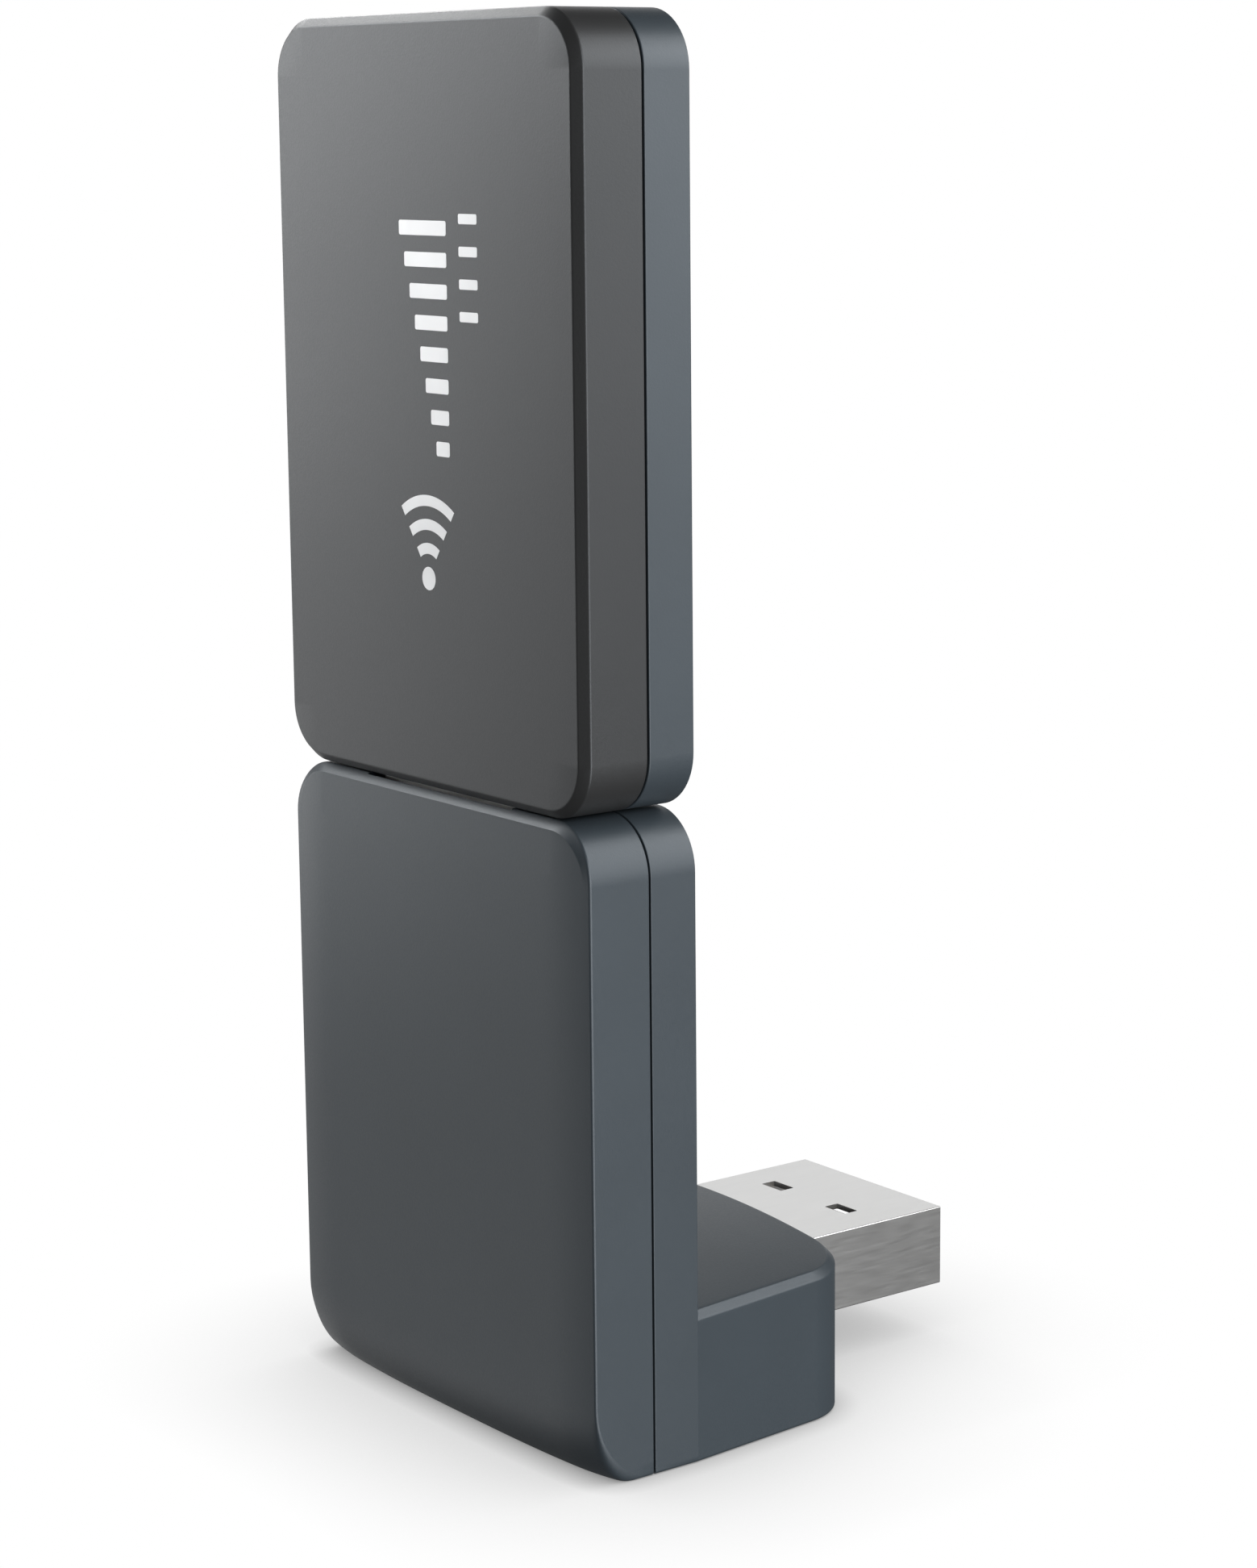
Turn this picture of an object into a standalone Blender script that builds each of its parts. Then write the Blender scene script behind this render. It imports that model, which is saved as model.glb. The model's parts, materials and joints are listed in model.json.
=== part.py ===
"""A USB radio dongle standing in a right-angle USB adapter.

Metres, +Z up. +X runs across the width and -Y is the front. The origin is the centre of the
base of the whole object's box, so the front face lies at -Y and the adapter's plug points to +Y.
"Depth" is always counted from the front face towards +Y.
"""

import math

import bmesh
import bpy
from mathutils import Matrix, Vector

MM = 0.001

# Both modules
WIDTH = 27.0 * MM
THICKNESS = 6.84 * MM
OVERALL_DEPTH = 30.16 * MM
CORNER_RADIUS = 3.0 * MM
CORNER_STEPS = 8
SHARPEST_CORNER = 0.05 * MM
EDGE_CHAMFER = 0.46 * MM
WALL = 1.1 * MM
FACE_WALL = 1.0 * MM

REAR_EDGE = 0.2 * MM

# Parting line between each front cover and its rear cover, and the lip that crosses it
SEAM_DEPTH = 3.97 * MM
SEAM_GAP = 0.12 * MM
LIP_REACH = 0.9 * MM
LIP_CLEARANCE = 0.08 * MM
REBATE = 0.5 * MM

# Heights
ADAPTER_HEIGHT = 34.04 * MM
MODULE_GAP = 0.10 * MM
DONGLE_HEIGHT = 39.18 * MM
DONGLE_BASE = ADAPTER_HEIGHT + MODULE_GAP
DONGLE_TOP = DONGLE_BASE + DONGLE_HEIGHT

# Adapter's front: a crowned face that rolls under at the toe, least in the middle
SHOULDER_WIDTH = 3.4 * MM
TOE_RADIUS = 4.5 * MM
TOE_HEIGHT = 4.3 * MM
TOE_SHARE_MIDDLE = 0.41
TOE_SHARE_SIDE = 0.20
TOE_SHARE_CORNER = 0.39
TOE_CORNER_POWER = 120
FACE_INSETS = (0.46 * MM, 1.0 * MM, 1.7 * MM, 2.5 * MM, 3.4 * MM, 5.0 * MM)
BOTTOM_FRACTIONS = (0.76, 0.84, 0.91, 0.96)
SIDE_FRACTIONS = (0.02, 0.045, 0.08, 0.14)

# Adapter's foot
FOOT_HALF_WIDTH = 13.44 * MM
FOOT_TAPER = 0.092
FOOT_CORNER_RADIUS = 3.6 * MM
FOOT_CORNER_STEPS = 7
FOOT_CROWN_HEIGHT = 9.26 * MM
FOOT_CROWN_FALL = 1.18 * MM
FOOT_CHAMFER = 0.42 * MM
FOOT_WALL = 1.2 * MM
FOOT_COLUMNS = 6
FOOT_PLUG_HEIGHT = 5.10 * MM

# Series A plug
PLUG_WIDTH = 12.0 * MM
PLUG_HEIGHT = 4.5 * MM
PLUG_EXPOSED = 12.0 * MM
HEEL_PLUG_EXPOSED = 11.6 * MM
SHEET = 0.3 * MM
SHEET_OUTER_CORNER = 0.35 * MM
SHEET_INNER_CORNER = 0.1 * MM
PLUG_CLEARANCE = 0.05 * MM
DONGLE_PLUG_LENGTH = 15.6 * MM
HEEL_PLUG_START = 12.0 * MM
INSULATOR_HEIGHT = 1.85 * MM
INSULATOR_SETBACK = 0.3 * MM
INSULATOR_BACK_SETBACK = 0.2 * MM
CONTACT_OFFSETS = (-3.5 * MM, -1.0 * MM, 1.0 * MM, 3.5 * MM)
CONTACT_WIDTH = 1.0 * MM
CONTACT_THICKNESS = 0.25 * MM
CONTACT_SINK = 0.03 * MM
CONTACT_SETBACK = 1.2 * MM
DATA_CONTACT_SETBACK = 2.2 * MM
GROOVE_SIDE_GAP = 0.05 * MM
GROOVE_DEPTH = 0.33 * MM
LATCH_HOLE_OFFSET = 2.82 * MM
LATCH_HOLE_WIDTH = 1.75 * MM
LATCH_HOLE_LENGTH = 0.95 * MM
LATCH_HOLE_SETBACK = 4.70 * MM
TAIL_LENGTH = 1.7 * MM

# Series A socket
SOCKET_WIDTH = 12.5 * MM
SOCKET_OPENING = 5.12 * MM
SOCKET_DEPTH = 14.2 * MM
SOCKET_RECESS = 0.24 * MM
SOCKET_BASE_START = 12.15 * MM
SOCKET_BASE_SETBACK = 0.1 * MM
SOCKET_BAY_CLEARANCE = 0.06 * MM
SOCKET_BAY_BELOW = 0.5 * MM
TONGUE_WIDTH = 11.1 * MM
TONGUE_THICKNESS = 1.84 * MM
TONGUE_SETBACK = 0.9 * MM
TONGUE_OFFSET = 0.05 * MM
TONGUE_GROOVE_SETBACK = 0.8 * MM
TONGUE_CONTACT_SETBACK = 1.0 * MM

# Places worked out from the sizes above
HALF_WIDTH = WIDTH / 2
FRONT = -OVERALL_DEPTH / 2
PLUG_LINE = FRONT + THICKNESS / 2
FOOT_DEPTH = OVERALL_DEPTH - HEEL_PLUG_EXPOSED
DONGLE_TIP = DONGLE_BASE - PLUG_EXPOSED
SOCKET_MOUTH = ADAPTER_HEIGHT - SOCKET_RECESS

# Boards
BOARD_THICKNESS = 0.8 * MM
SOLDER_GAP = 0.05 * MM
DONGLE_BOARD_HALF_WIDTH = 11.8 * MM
DONGLE_BOARD_START = 16.0 * MM
DONGLE_BOARD_TOP_GAP = 0.6 * MM
DONGLE_BOARD_CORNER = 1.6 * MM
SOCKET_BOARD_HALF_WIDTH = 8.0 * MM
SOCKET_BOARD_BASE = 5.6 * MM
SOCKET_BOARD_TOP_GAP = 0.2 * MM
SOCKET_BOARD_CORNER = 0.6 * MM
PLUG_BOARD_HALF_WIDTH = 7.0 * MM
PLUG_BOARD_START = 5.2 * MM
PLUG_BOARD_GAP = 0.1 * MM

# The shield can, with its ends counted up from the dongle board's lower edge
SHIELD_HALF_WIDTH = 9.0 * MM
SHIELD_LOW = 5.0 * MM
SHIELD_HIGH = 22.0 * MM
SHIELD_HEIGHT = 1.5 * MM
SHIELD_SHEET = 0.2 * MM

# Packages on the dongle board in millimetres: across, up from its lower edge, width, height, depth
PACKAGE_CORNER = 0.12 * MM
PACKAGES = {
    "radio_chip": (-2.2, 13.5, 6.0, 6.0, 0.85, "chip"),
    "memory_chip": (4.6, 16.9, 4.0, 3.0, 0.75, "chip"),
    "crystal": (4.6, 10.9, 3.2, 2.5, 0.7, "can"),
    "voltage_regulator": (8.6, 3.2, 2.9, 1.6, 1.1, "chip"),
    "supply_capacitor": (-8.6, 3.2, 3.2, 1.6, 1.6, "ceramic"),
    "antenna_left": (-7.0, 30.7, 7.0, 2.0, 0.9, "ceramic"),
    "antenna_right": (7.0, 30.7, 7.0, 2.0, 0.9, "ceramic"),
}

# Wires between the adapter's two boards
WIRE_RADIUS = 0.35 * MM
WIRE_POINTS = 9
WIRE_FOOT_DEPTH = 7.2 * MM
WIRE_HEAD_HEIGHT = 7.6 * MM

# How far a cutter reaches past the solid that it cuts
OVERCUT = 1.0 * MM


def remove_everything():
    for obj in list(bpy.data.objects):
        bpy.data.objects.remove(obj, do_unlink=True)


def material(name, colour, roughness, metallic=0.0):
    result = bpy.data.materials.new(name)
    result.use_nodes = True
    shader = result.node_tree.nodes["Principled BSDF"]
    shader.inputs["Base Color"].default_value = (*colour, 1.0)
    shader.inputs["Roughness"].default_value = roughness
    shader.inputs["Metallic"].default_value = metallic
    result.diffuse_color = (*colour, 1.0)
    return result


def add_object(name, mesh, finish=None):
    obj = bpy.data.objects.new(name, mesh)
    bpy.context.scene.collection.objects.link(obj)
    if finish is not None:
        mesh.materials.append(finish)
    mesh.shade_smooth()
    mesh.set_sharp_from_angle(angle=math.radians(30))
    return obj


def mesh_object(name, bm, finish=None):
    bmesh.ops.recalc_face_normals(bm, faces=bm.faces)
    mesh = bpy.data.meshes.new(name)
    bm.to_mesh(mesh)
    bm.free()
    return add_object(name, mesh, finish)


def loft(name, rings, finish=None, closed=False):
    """Join matching rings of points into one body, capped at both ends unless it closes on itself."""
    bm = bmesh.new()
    loops = [[bm.verts.new(point) for point in ring] for ring in rings]
    pairs = list(zip(loops, loops[1:]))
    if closed:
        pairs.append((loops[-1], loops[0]))
    for near, far in pairs:
        for index in range(len(near)):
            after = (index + 1) % len(near)
            bm.faces.new((near[index], near[after], far[after], far[index]))
    if not closed:
        bm.faces.new(loops[0])
        bm.faces.new(reversed(loops[-1]))
    return mesh_object(name, bm, finish)


def block(name, low, high, finish=None):
    """A box between two opposite corners."""
    centre = (Vector(low) + Vector(high)) / 2
    size = Vector(high) - Vector(low)
    bm = bmesh.new()
    bmesh.ops.create_cube(bm, size=1.0, matrix=Matrix.Translation(centre) @ Matrix.Diagonal((*size, 1.0)))
    return mesh_object(name, bm, finish)


def combine(target, tool, operation):
    """Cut the tool out of the target, or weld it on; the tool itself stays a hidden guide."""
    tool.hide_render = True
    tool.display_type = "WIRE"
    modifier = target.modifiers.new(tool.name, "BOOLEAN")
    modifier.operation = operation
    modifier.solver = "EXACT"
    modifier.object = tool


def cut(target, tool):
    combine(target, tool, "DIFFERENCE")


def weld(target, tool):
    combine(target, tool, "UNION")


def arc(centre_x, centre_z, radius, start_degrees):
    """A quarter turn, anticlockwise from the start angle."""
    for step in range(CORNER_STEPS + 1):
        angle = math.radians(start_degrees + 90 * step / CORNER_STEPS)
        yield (centre_x + radius * math.cos(angle), centre_z + radius * math.sin(angle))


def capsule_outline(low, high, inset):
    """The dongle's outline: four round corners, anticlockwise seen from the front."""
    radius = CORNER_RADIUS - inset
    reach = HALF_WIDTH - CORNER_RADIUS
    points = list(arc(reach, low + CORNER_RADIUS, radius, 270))
    points += arc(reach, high - CORNER_RADIUS, radius, 0)
    points += arc(-reach, high - CORNER_RADIUS, radius, 90)
    points += arc(-reach, low + CORNER_RADIUS, radius, 180)
    return points


def adapter_outline(inset):
    """The adapter's outline: square below, round above, with extra points near the toe."""
    half = HALF_WIDTH - inset
    radius = CORNER_RADIUS - inset
    reach = HALF_WIDTH - CORNER_RADIUS
    top = ADAPTER_HEIGHT - CORNER_RADIUS
    if radius <= 0:
        radius = SHARPEST_CORNER
        reach = half - radius
        top = ADAPTER_HEIGHT - inset - radius
    rise = top - inset
    bottom = [fraction * half for fraction in BOTTOM_FRACTIONS] + [half]
    points = [(-x, inset) for x in reversed(bottom)]
    points += [(x, inset) for x in bottom]
    points += [(half, inset + fraction * rise) for fraction in SIDE_FRACTIONS]
    points += arc(reach, top, radius, 0)
    points += arc(-reach, top, radius, 90)
    points += [(-half, inset + fraction * rise) for fraction in reversed(SIDE_FRACTIONS)]
    return points


def ring_at(outline, depth):
    return [Vector((x, FRONT + depth, z)) for x, z in outline]


def crown_depth(x, z):
    """Depth of the adapter's front face: soft shoulders at the sides and the rolled toe."""
    over_shoulder = max(0.0, abs(x) - (HALF_WIDTH - SHOULDER_WIDTH))
    shoulder = EDGE_CHAMFER * (over_shoulder / SHOULDER_WIDTH) ** 2
    below = max(0.0, TOE_HEIGHT - z)
    roll = TOE_RADIUS - math.sqrt(TOE_RADIUS**2 - below**2)
    aside = abs(x) / HALF_WIDTH
    share = TOE_SHARE_MIDDLE + TOE_SHARE_SIDE * aside**3 + TOE_SHARE_CORNER * aside**TOE_CORNER_POWER
    return shoulder + roll * share


def crowned_ring(inset, offset=0.0):
    outline = adapter_outline(inset)
    return [Vector((x, FRONT + offset + crown_depth(x, z), z)) for x, z in outline]


def crowned_edge_ring():
    """The outermost ring: one chamfer deep along the top, on the crown's own surface elsewhere."""
    ring = []
    for x, z in adapter_outline(0.0):
        depth = crown_depth(x, z)
        if z > ADAPTER_HEIGHT / 2:
            depth = EDGE_CHAMFER
        ring.append(Vector((x, FRONT + depth, z)))
    return ring


def front_inner_rings(outline_at):
    """From the parting face in: the rebate for the lip, then the wall's inner side."""
    parting = SEAM_DEPTH - SEAM_GAP / 2
    step = parting - LIP_REACH - LIP_CLEARANCE
    return [
        ring_at(outline_at(0.0), parting),
        ring_at(outline_at(REBATE), parting),
        ring_at(outline_at(REBATE), step),
        ring_at(outline_at(WALL), step),
    ]


def rear_rings(outline_at, pocket_depth):
    """From the outer side at the parting face, round the lip, to the floor of the pocket."""
    parting = SEAM_DEPTH + SEAM_GAP / 2
    lip_end = parting - SEAM_GAP - LIP_REACH
    lip_outer = REBATE + LIP_CLEARANCE
    return [
        ring_at(outline_at(0.0), parting),
        ring_at(outline_at(lip_outer), parting),
        ring_at(outline_at(lip_outer), lip_end),
        ring_at(outline_at(WALL), lip_end),
        ring_at(outline_at(WALL), pocket_depth),
    ]


def dongle_outline(inset):
    return capsule_outline(DONGLE_BASE, DONGLE_TOP, inset)


def plug_slot(name):
    """A cutter for the opening in the dongle's base that its plug's shell passes through."""
    half_width = PLUG_WIDTH / 2 + PLUG_CLEARANCE
    half_height = PLUG_HEIGHT / 2 + PLUG_CLEARANCE
    return block(
        name,
        (-half_width, PLUG_LINE - half_height, DONGLE_BASE - OVERCUT),
        (half_width, PLUG_LINE + half_height, DONGLE_BASE + WALL + OVERCUT),
    )


def build_dongle_covers(front_finish, rear_finish):
    front_rings = [
        ring_at(dongle_outline(EDGE_CHAMFER), 0.0),
        ring_at(dongle_outline(0.0), EDGE_CHAMFER),
        *front_inner_rings(dongle_outline),
        ring_at(dongle_outline(WALL), FACE_WALL),
    ]
    front = loft("dongle_front_cover", front_rings, front_finish)
    cut(front, plug_slot("dongle_front_slot"))
    rear_outer = [
        ring_at(dongle_outline(REAR_EDGE), THICKNESS),
        ring_at(dongle_outline(0.0), THICKNESS - REAR_EDGE),
    ]
    rear = loft(
        "dongle_rear_cover",
        rear_outer + rear_rings(dongle_outline, THICKNESS - FACE_WALL),
        rear_finish,
    )
    cut(rear, plug_slot("dongle_rear_slot"))
    return [front, rear]


def socket_bay(name):
    """A cutter for the room that the socket takes, out through the top of the adapter."""
    half_width = SOCKET_WIDTH / 2 + SHEET + SOCKET_BAY_CLEARANCE
    half_height = SOCKET_OPENING / 2 + SHEET + SOCKET_BAY_CLEARANCE
    bottom = SOCKET_MOUTH - SOCKET_DEPTH - SOCKET_BAY_BELOW
    return block(
        name,
        (-half_width, PLUG_LINE - half_height, bottom),
        (half_width, PLUG_LINE + half_height, ADAPTER_HEIGHT + OVERCUT),
    )


def build_adapter_front(finish):
    outer = [crowned_ring(inset) for inset in reversed(FACE_INSETS)]
    inner_insets = (WALL, *FACE_INSETS[2:])
    inner = [crowned_ring(inset, FACE_WALL) for inset in inner_insets]
    rings = outer + [crowned_edge_ring()] + front_inner_rings(adapter_outline) + inner
    cover = loft("adapter_front_cover", rings, finish)
    cut(cover, socket_bay("front_socket_bay"))
    return cover


def foot_plan_point(station, inset):
    """Right-hand edge of the foot in plan, as (x, depth): a tapered side, then a round corner."""
    slope = math.atan(FOOT_TAPER)
    radius = FOOT_CORNER_RADIUS - inset
    centre_depth = FOOT_DEPTH - FOOT_CORNER_RADIUS
    side_at_centre = FOOT_HALF_WIDTH - FOOT_TAPER * (centre_depth - THICKNESS)
    centre_x = side_at_centre - FOOT_CORNER_RADIUS / math.cos(slope)
    angle = slope + (math.pi / 2 - slope) * station
    return (centre_x + radius * math.cos(angle), centre_depth + radius * math.sin(angle))


def foot_edge(start_depth, inset):
    """The right-hand edge from the start depth to the flat of the rear face."""
    stations = [foot_plan_point(step / FOOT_CORNER_STEPS, inset) for step in range(FOOT_CORNER_STEPS + 1)]
    tangent_x, tangent_depth = stations[0]
    start_x = tangent_x + FOOT_TAPER * (tangent_depth - start_depth)
    return [(start_x, start_depth)] + stations


def foot_crown(x):
    """Height of the foot's arched top."""
    return FOOT_CROWN_HEIGHT - FOOT_CROWN_FALL * (x / (FOOT_HALF_WIDTH - FOOT_CHAMFER)) ** 2


def foot_body(name, start_depth, inset, finish=None):
    """The foot, or with an inset the hollow inside it: arched on top, with one chamfer round it."""
    wall_edge = foot_edge(start_depth, inset)
    top_edge = foot_edge(start_depth, inset + FOOT_CHAMFER)
    fractions = [2 * column / FOOT_COLUMNS - 1 for column in range(FOOT_COLUMNS + 1)]
    last = len(wall_edge) - 1
    bm = bmesh.new()

    def top_point(row, column):
        half, depth = top_edge[row]
        x = fractions[column] * half
        return Vector((x, FRONT + depth, foot_crown(x) - inset))

    top = [[bm.verts.new(top_point(row, column)) for column in range(FOOT_COLUMNS + 1)]
           for row in range(last + 1)]
    for row in range(last):
        for column in range(FOOT_COLUMNS):
            bm.faces.new((top[row][column], top[row][column + 1],
                          top[row + 1][column + 1], top[row + 1][column]))
    border = [(0, column) for column in range(FOOT_COLUMNS + 1)]
    border += [(row, FOOT_COLUMNS) for row in range(1, last + 1)]
    border += [(last, column) for column in reversed(range(FOOT_COLUMNS))]
    border += [(row, 0) for row in reversed(range(1, last))]
    wall = []
    base = []
    for row, column in border:
        half, depth = wall_edge[row]
        x = fractions[column] * half
        height = top[row][column].co.z - FOOT_CHAMFER
        wall.append(bm.verts.new((x, FRONT + depth, height)))
        base.append(bm.verts.new((x, FRONT + depth, inset)))
    rim = [top[row][column] for row, column in border]
    for upper, lower in ((rim, wall), (wall, base)):
        for index in range(len(border)):
            after = (index + 1) % len(border)
            bm.faces.new((upper[index], upper[after], lower[after], lower[index]))
    bm.faces.new(base)
    return mesh_object(name, bm, finish)


def build_adapter_rear(finish):
    """The upright back plate and the foot in one moulding, with the plug's slot in the heel."""
    pocket_depth = THICKNESS - FACE_WALL
    rings = [ring_at(adapter_outline(0.0), THICKNESS)] + rear_rings(adapter_outline, pocket_depth)
    cover = loft("adapter_rear_cover", rings, finish)
    weld(cover, foot_body("foot_outside", THICKNESS - FACE_WALL / 2, 0.0))
    cut(cover, foot_body("foot_inside", pocket_depth - FACE_WALL / 2, FOOT_WALL))
    half_width = PLUG_WIDTH / 2 + PLUG_CLEARANCE
    half_height = PLUG_HEIGHT / 2 + PLUG_CLEARANCE
    slot = block(
        "heel_slot",
        (-half_width, FRONT + FOOT_DEPTH - FOOT_WALL - OVERCUT, FOOT_PLUG_HEIGHT - half_height),
        (half_width, FRONT + FOOT_DEPTH + OVERCUT, FOOT_PLUG_HEIGHT + half_height),
    )
    cut(cover, slot)
    cut(cover, socket_bay("rear_socket_bay"))
    return cover


def tube_rings(width, height, sheet, near, far):
    """Four rings of a folded rectangular tube along Y, outside then inside."""

    def rectangle(half_width, half_height, corner, y):
        points = []
        for x, z, start in ((1, -1, 270), (1, 1, 0), (-1, 1, 90), (-1, -1, 180)):
            for step in range(3):
                angle = math.radians(start + 45 * step)
                points.append(Vector((
                    x * (half_width - corner) + corner * math.cos(angle),
                    y,
                    z * (half_height - corner) + corner * math.sin(angle),
                )))
        return points

    inner_width = width / 2 - sheet
    inner_height = height / 2 - sheet
    return [
        rectangle(width / 2, height / 2, SHEET_OUTER_CORNER, near),
        rectangle(width / 2, height / 2, SHEET_OUTER_CORNER, far),
        rectangle(inner_width, inner_height, SHEET_INNER_CORNER, far),
        rectangle(inner_width, inner_height, SHEET_INNER_CORNER, near),
    ]


def place(pieces, location, rotation_x):
    for piece in pieces:
        piece.location = location
        piece.rotation_euler = (rotation_x, 0.0, 0.0)


def build_plug(prefix, shell_length, finishes):
    """A plug pointing to +Y with its tip at the origin; its open side is towards +Z."""
    shell_rings = tube_rings(PLUG_WIDTH, PLUG_HEIGHT, SHEET, -shell_length, 0.0)
    shell = loft(f"{prefix}_shell", shell_rings, finishes["sheet"], closed=True)
    tools = []
    for side, x in (("left", -LATCH_HOLE_OFFSET), ("right", LATCH_HOLE_OFFSET)):
        hole = block(
            f"{prefix}_{side}_hole",
            (x - LATCH_HOLE_WIDTH / 2, -LATCH_HOLE_SETBACK - LATCH_HOLE_LENGTH / 2, -PLUG_HEIGHT),
            (x + LATCH_HOLE_WIDTH / 2, -LATCH_HOLE_SETBACK + LATCH_HOLE_LENGTH / 2, PLUG_HEIGHT),
        )
        cut(shell, hole)
        tools.append(hole)
    floor = SHEET + PLUG_CLEARANCE - PLUG_HEIGHT / 2
    face = floor + INSULATOR_HEIGHT
    back = INSULATOR_BACK_SETBACK - shell_length
    half_width = PLUG_WIDTH / 2 - SHEET - PLUG_CLEARANCE
    insulator = block(
        f"{prefix}_insulator",
        (-half_width, back, floor),
        (half_width, -INSULATOR_SETBACK, face),
        finishes["insulator"],
    )
    pieces = [shell, insulator]
    for number, x in enumerate(CONTACT_OFFSETS, start=1):
        outer = number in (1, len(CONTACT_OFFSETS))
        setback = CONTACT_SETBACK if outer else DATA_CONTACT_SETBACK
        half = CONTACT_WIDTH / 2
        top = face - CONTACT_SINK
        groove = block(
            f"{prefix}_groove_{number}",
            (x - half - GROOVE_SIDE_GAP, back - OVERCUT, face - GROOVE_DEPTH),
            (x + half + GROOVE_SIDE_GAP, GROOVE_SIDE_GAP - setback, face + OVERCUT),
        )
        cut(insulator, groove)
        tools.append(groove)
        pieces.append(block(
            f"{prefix}_contact_{number}",
            (x - half, back - TAIL_LENGTH, top - CONTACT_THICKNESS),
            (x + half, -setback, top),
            finishes["contact"],
        ))
    return pieces, tools


def build_socket(finishes):
    """The socket with its mouth at the origin and +Y going in; its tongue is on the +Z side."""
    shell_rings = tube_rings(
        SOCKET_WIDTH + 2 * SHEET, SOCKET_OPENING + 2 * SHEET, SHEET, 0.0, SOCKET_DEPTH
    )
    shell = loft("socket_shell", shell_rings, finishes["sheet"], closed=True)
    half_width = SOCKET_WIDTH / 2 - PLUG_CLEARANCE
    half_height = SOCKET_OPENING / 2 - PLUG_CLEARANCE
    insulator = block(
        "socket_insulator",
        (-half_width, SOCKET_BASE_START, -half_height),
        (half_width, SOCKET_DEPTH - SOCKET_BASE_SETBACK, half_height),
        finishes["insulator"],
    )
    tongue = block(
        "socket_tongue",
        (-TONGUE_WIDTH / 2, TONGUE_SETBACK, TONGUE_OFFSET),
        (TONGUE_WIDTH / 2, SOCKET_BASE_START + OVERCUT / 2, TONGUE_OFFSET + TONGUE_THICKNESS),
    )
    weld(insulator, tongue)
    tools = [tongue]
    pieces = [shell, insulator]
    half = CONTACT_WIDTH / 2
    face = TONGUE_OFFSET + CONTACT_SINK
    for number, x in enumerate(CONTACT_OFFSETS, start=1):
        groove = block(
            f"socket_groove_{number}",
            (x - half - GROOVE_SIDE_GAP, TONGUE_SETBACK + TONGUE_GROOVE_SETBACK, -TONGUE_OFFSET),
            (x + half + GROOVE_SIDE_GAP, SOCKET_DEPTH + OVERCUT, TONGUE_OFFSET + GROOVE_DEPTH),
        )
        cut(insulator, groove)
        tools.append(groove)
        pieces.append(block(
            f"socket_contact_{number}",
            (x - half, TONGUE_SETBACK + TONGUE_CONTACT_SETBACK, face),
            (x + half, SOCKET_DEPTH + TAIL_LENGTH + SHEET, face + CONTACT_THICKNESS),
            finishes["contact"],
        ))
    return pieces, tools


def plate(name, half_width, low, high, near, far, corner, finish):
    """An upright board or package with round corners, between two depths."""
    outline = []
    for x, z, start in ((1, low + corner, 270), (1, high - corner, 0),
                        (-1, high - corner, 90), (-1, low + corner, 180)):
        for step in range(4):
            angle = math.radians(start + 30 * step)
            outline.append((x * (half_width - corner) + corner * math.cos(angle),
                            z + corner * math.sin(angle)))
    return loft(name, [ring_at(outline, near), ring_at(outline, far)], finish)


def build_package(name, board_low, seat, finishes):
    """One package of the list, standing on the board's rear side."""
    across, up, width, height, depth, finish = PACKAGES[name]
    low = board_low + (up - height / 2) * MM
    high = board_low + (up + height / 2) * MM
    chip = plate(name, width / 2 * MM, low, high, seat, seat + depth * MM, PACKAGE_CORNER, finishes[finish])
    chip.location.x += across * MM
    return chip


def build_dongle_electronics(finishes):
    """The board under the plug's tails, with the radio in a shield on its rear side."""
    tail_front = (THICKNESS - PLUG_HEIGHT) / 2 + SHEET + PLUG_CLEARANCE
    tail_front += INSULATOR_HEIGHT - CONTACT_SINK - CONTACT_THICKNESS
    board_rear = tail_front - SOLDER_GAP
    board_low = DONGLE_TIP + DONGLE_BOARD_START
    board_high = DONGLE_TOP - WALL - DONGLE_BOARD_TOP_GAP
    board = plate("dongle_board", DONGLE_BOARD_HALF_WIDTH, board_low, board_high,
                  board_rear - BOARD_THICKNESS, board_rear, DONGLE_BOARD_CORNER, finishes["board"])
    pieces = [board, build_shield(tail_front, board_low, finishes["can"])]
    for name in PACKAGES:
        pieces.append(build_package(name, board_low, tail_front, finishes))
    return pieces


def build_shield(seat, board_low, finish):
    """A folded metal can, open towards the board."""

    def rectangle(inset, depth):
        half = SHIELD_HALF_WIDTH - inset
        low = board_low + SHIELD_LOW + inset
        high = board_low + SHIELD_HIGH - inset
        return ring_at(((half, low), (half, high), (-half, high), (-half, low)), depth)

    rings = [
        rectangle(0.0, seat + SHIELD_HEIGHT),
        rectangle(0.0, seat),
        rectangle(SHIELD_SHEET, seat),
        rectangle(SHIELD_SHEET, seat + SHIELD_HEIGHT - SHIELD_SHEET),
    ]
    return loft("shield_can", rings, finish)


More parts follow.
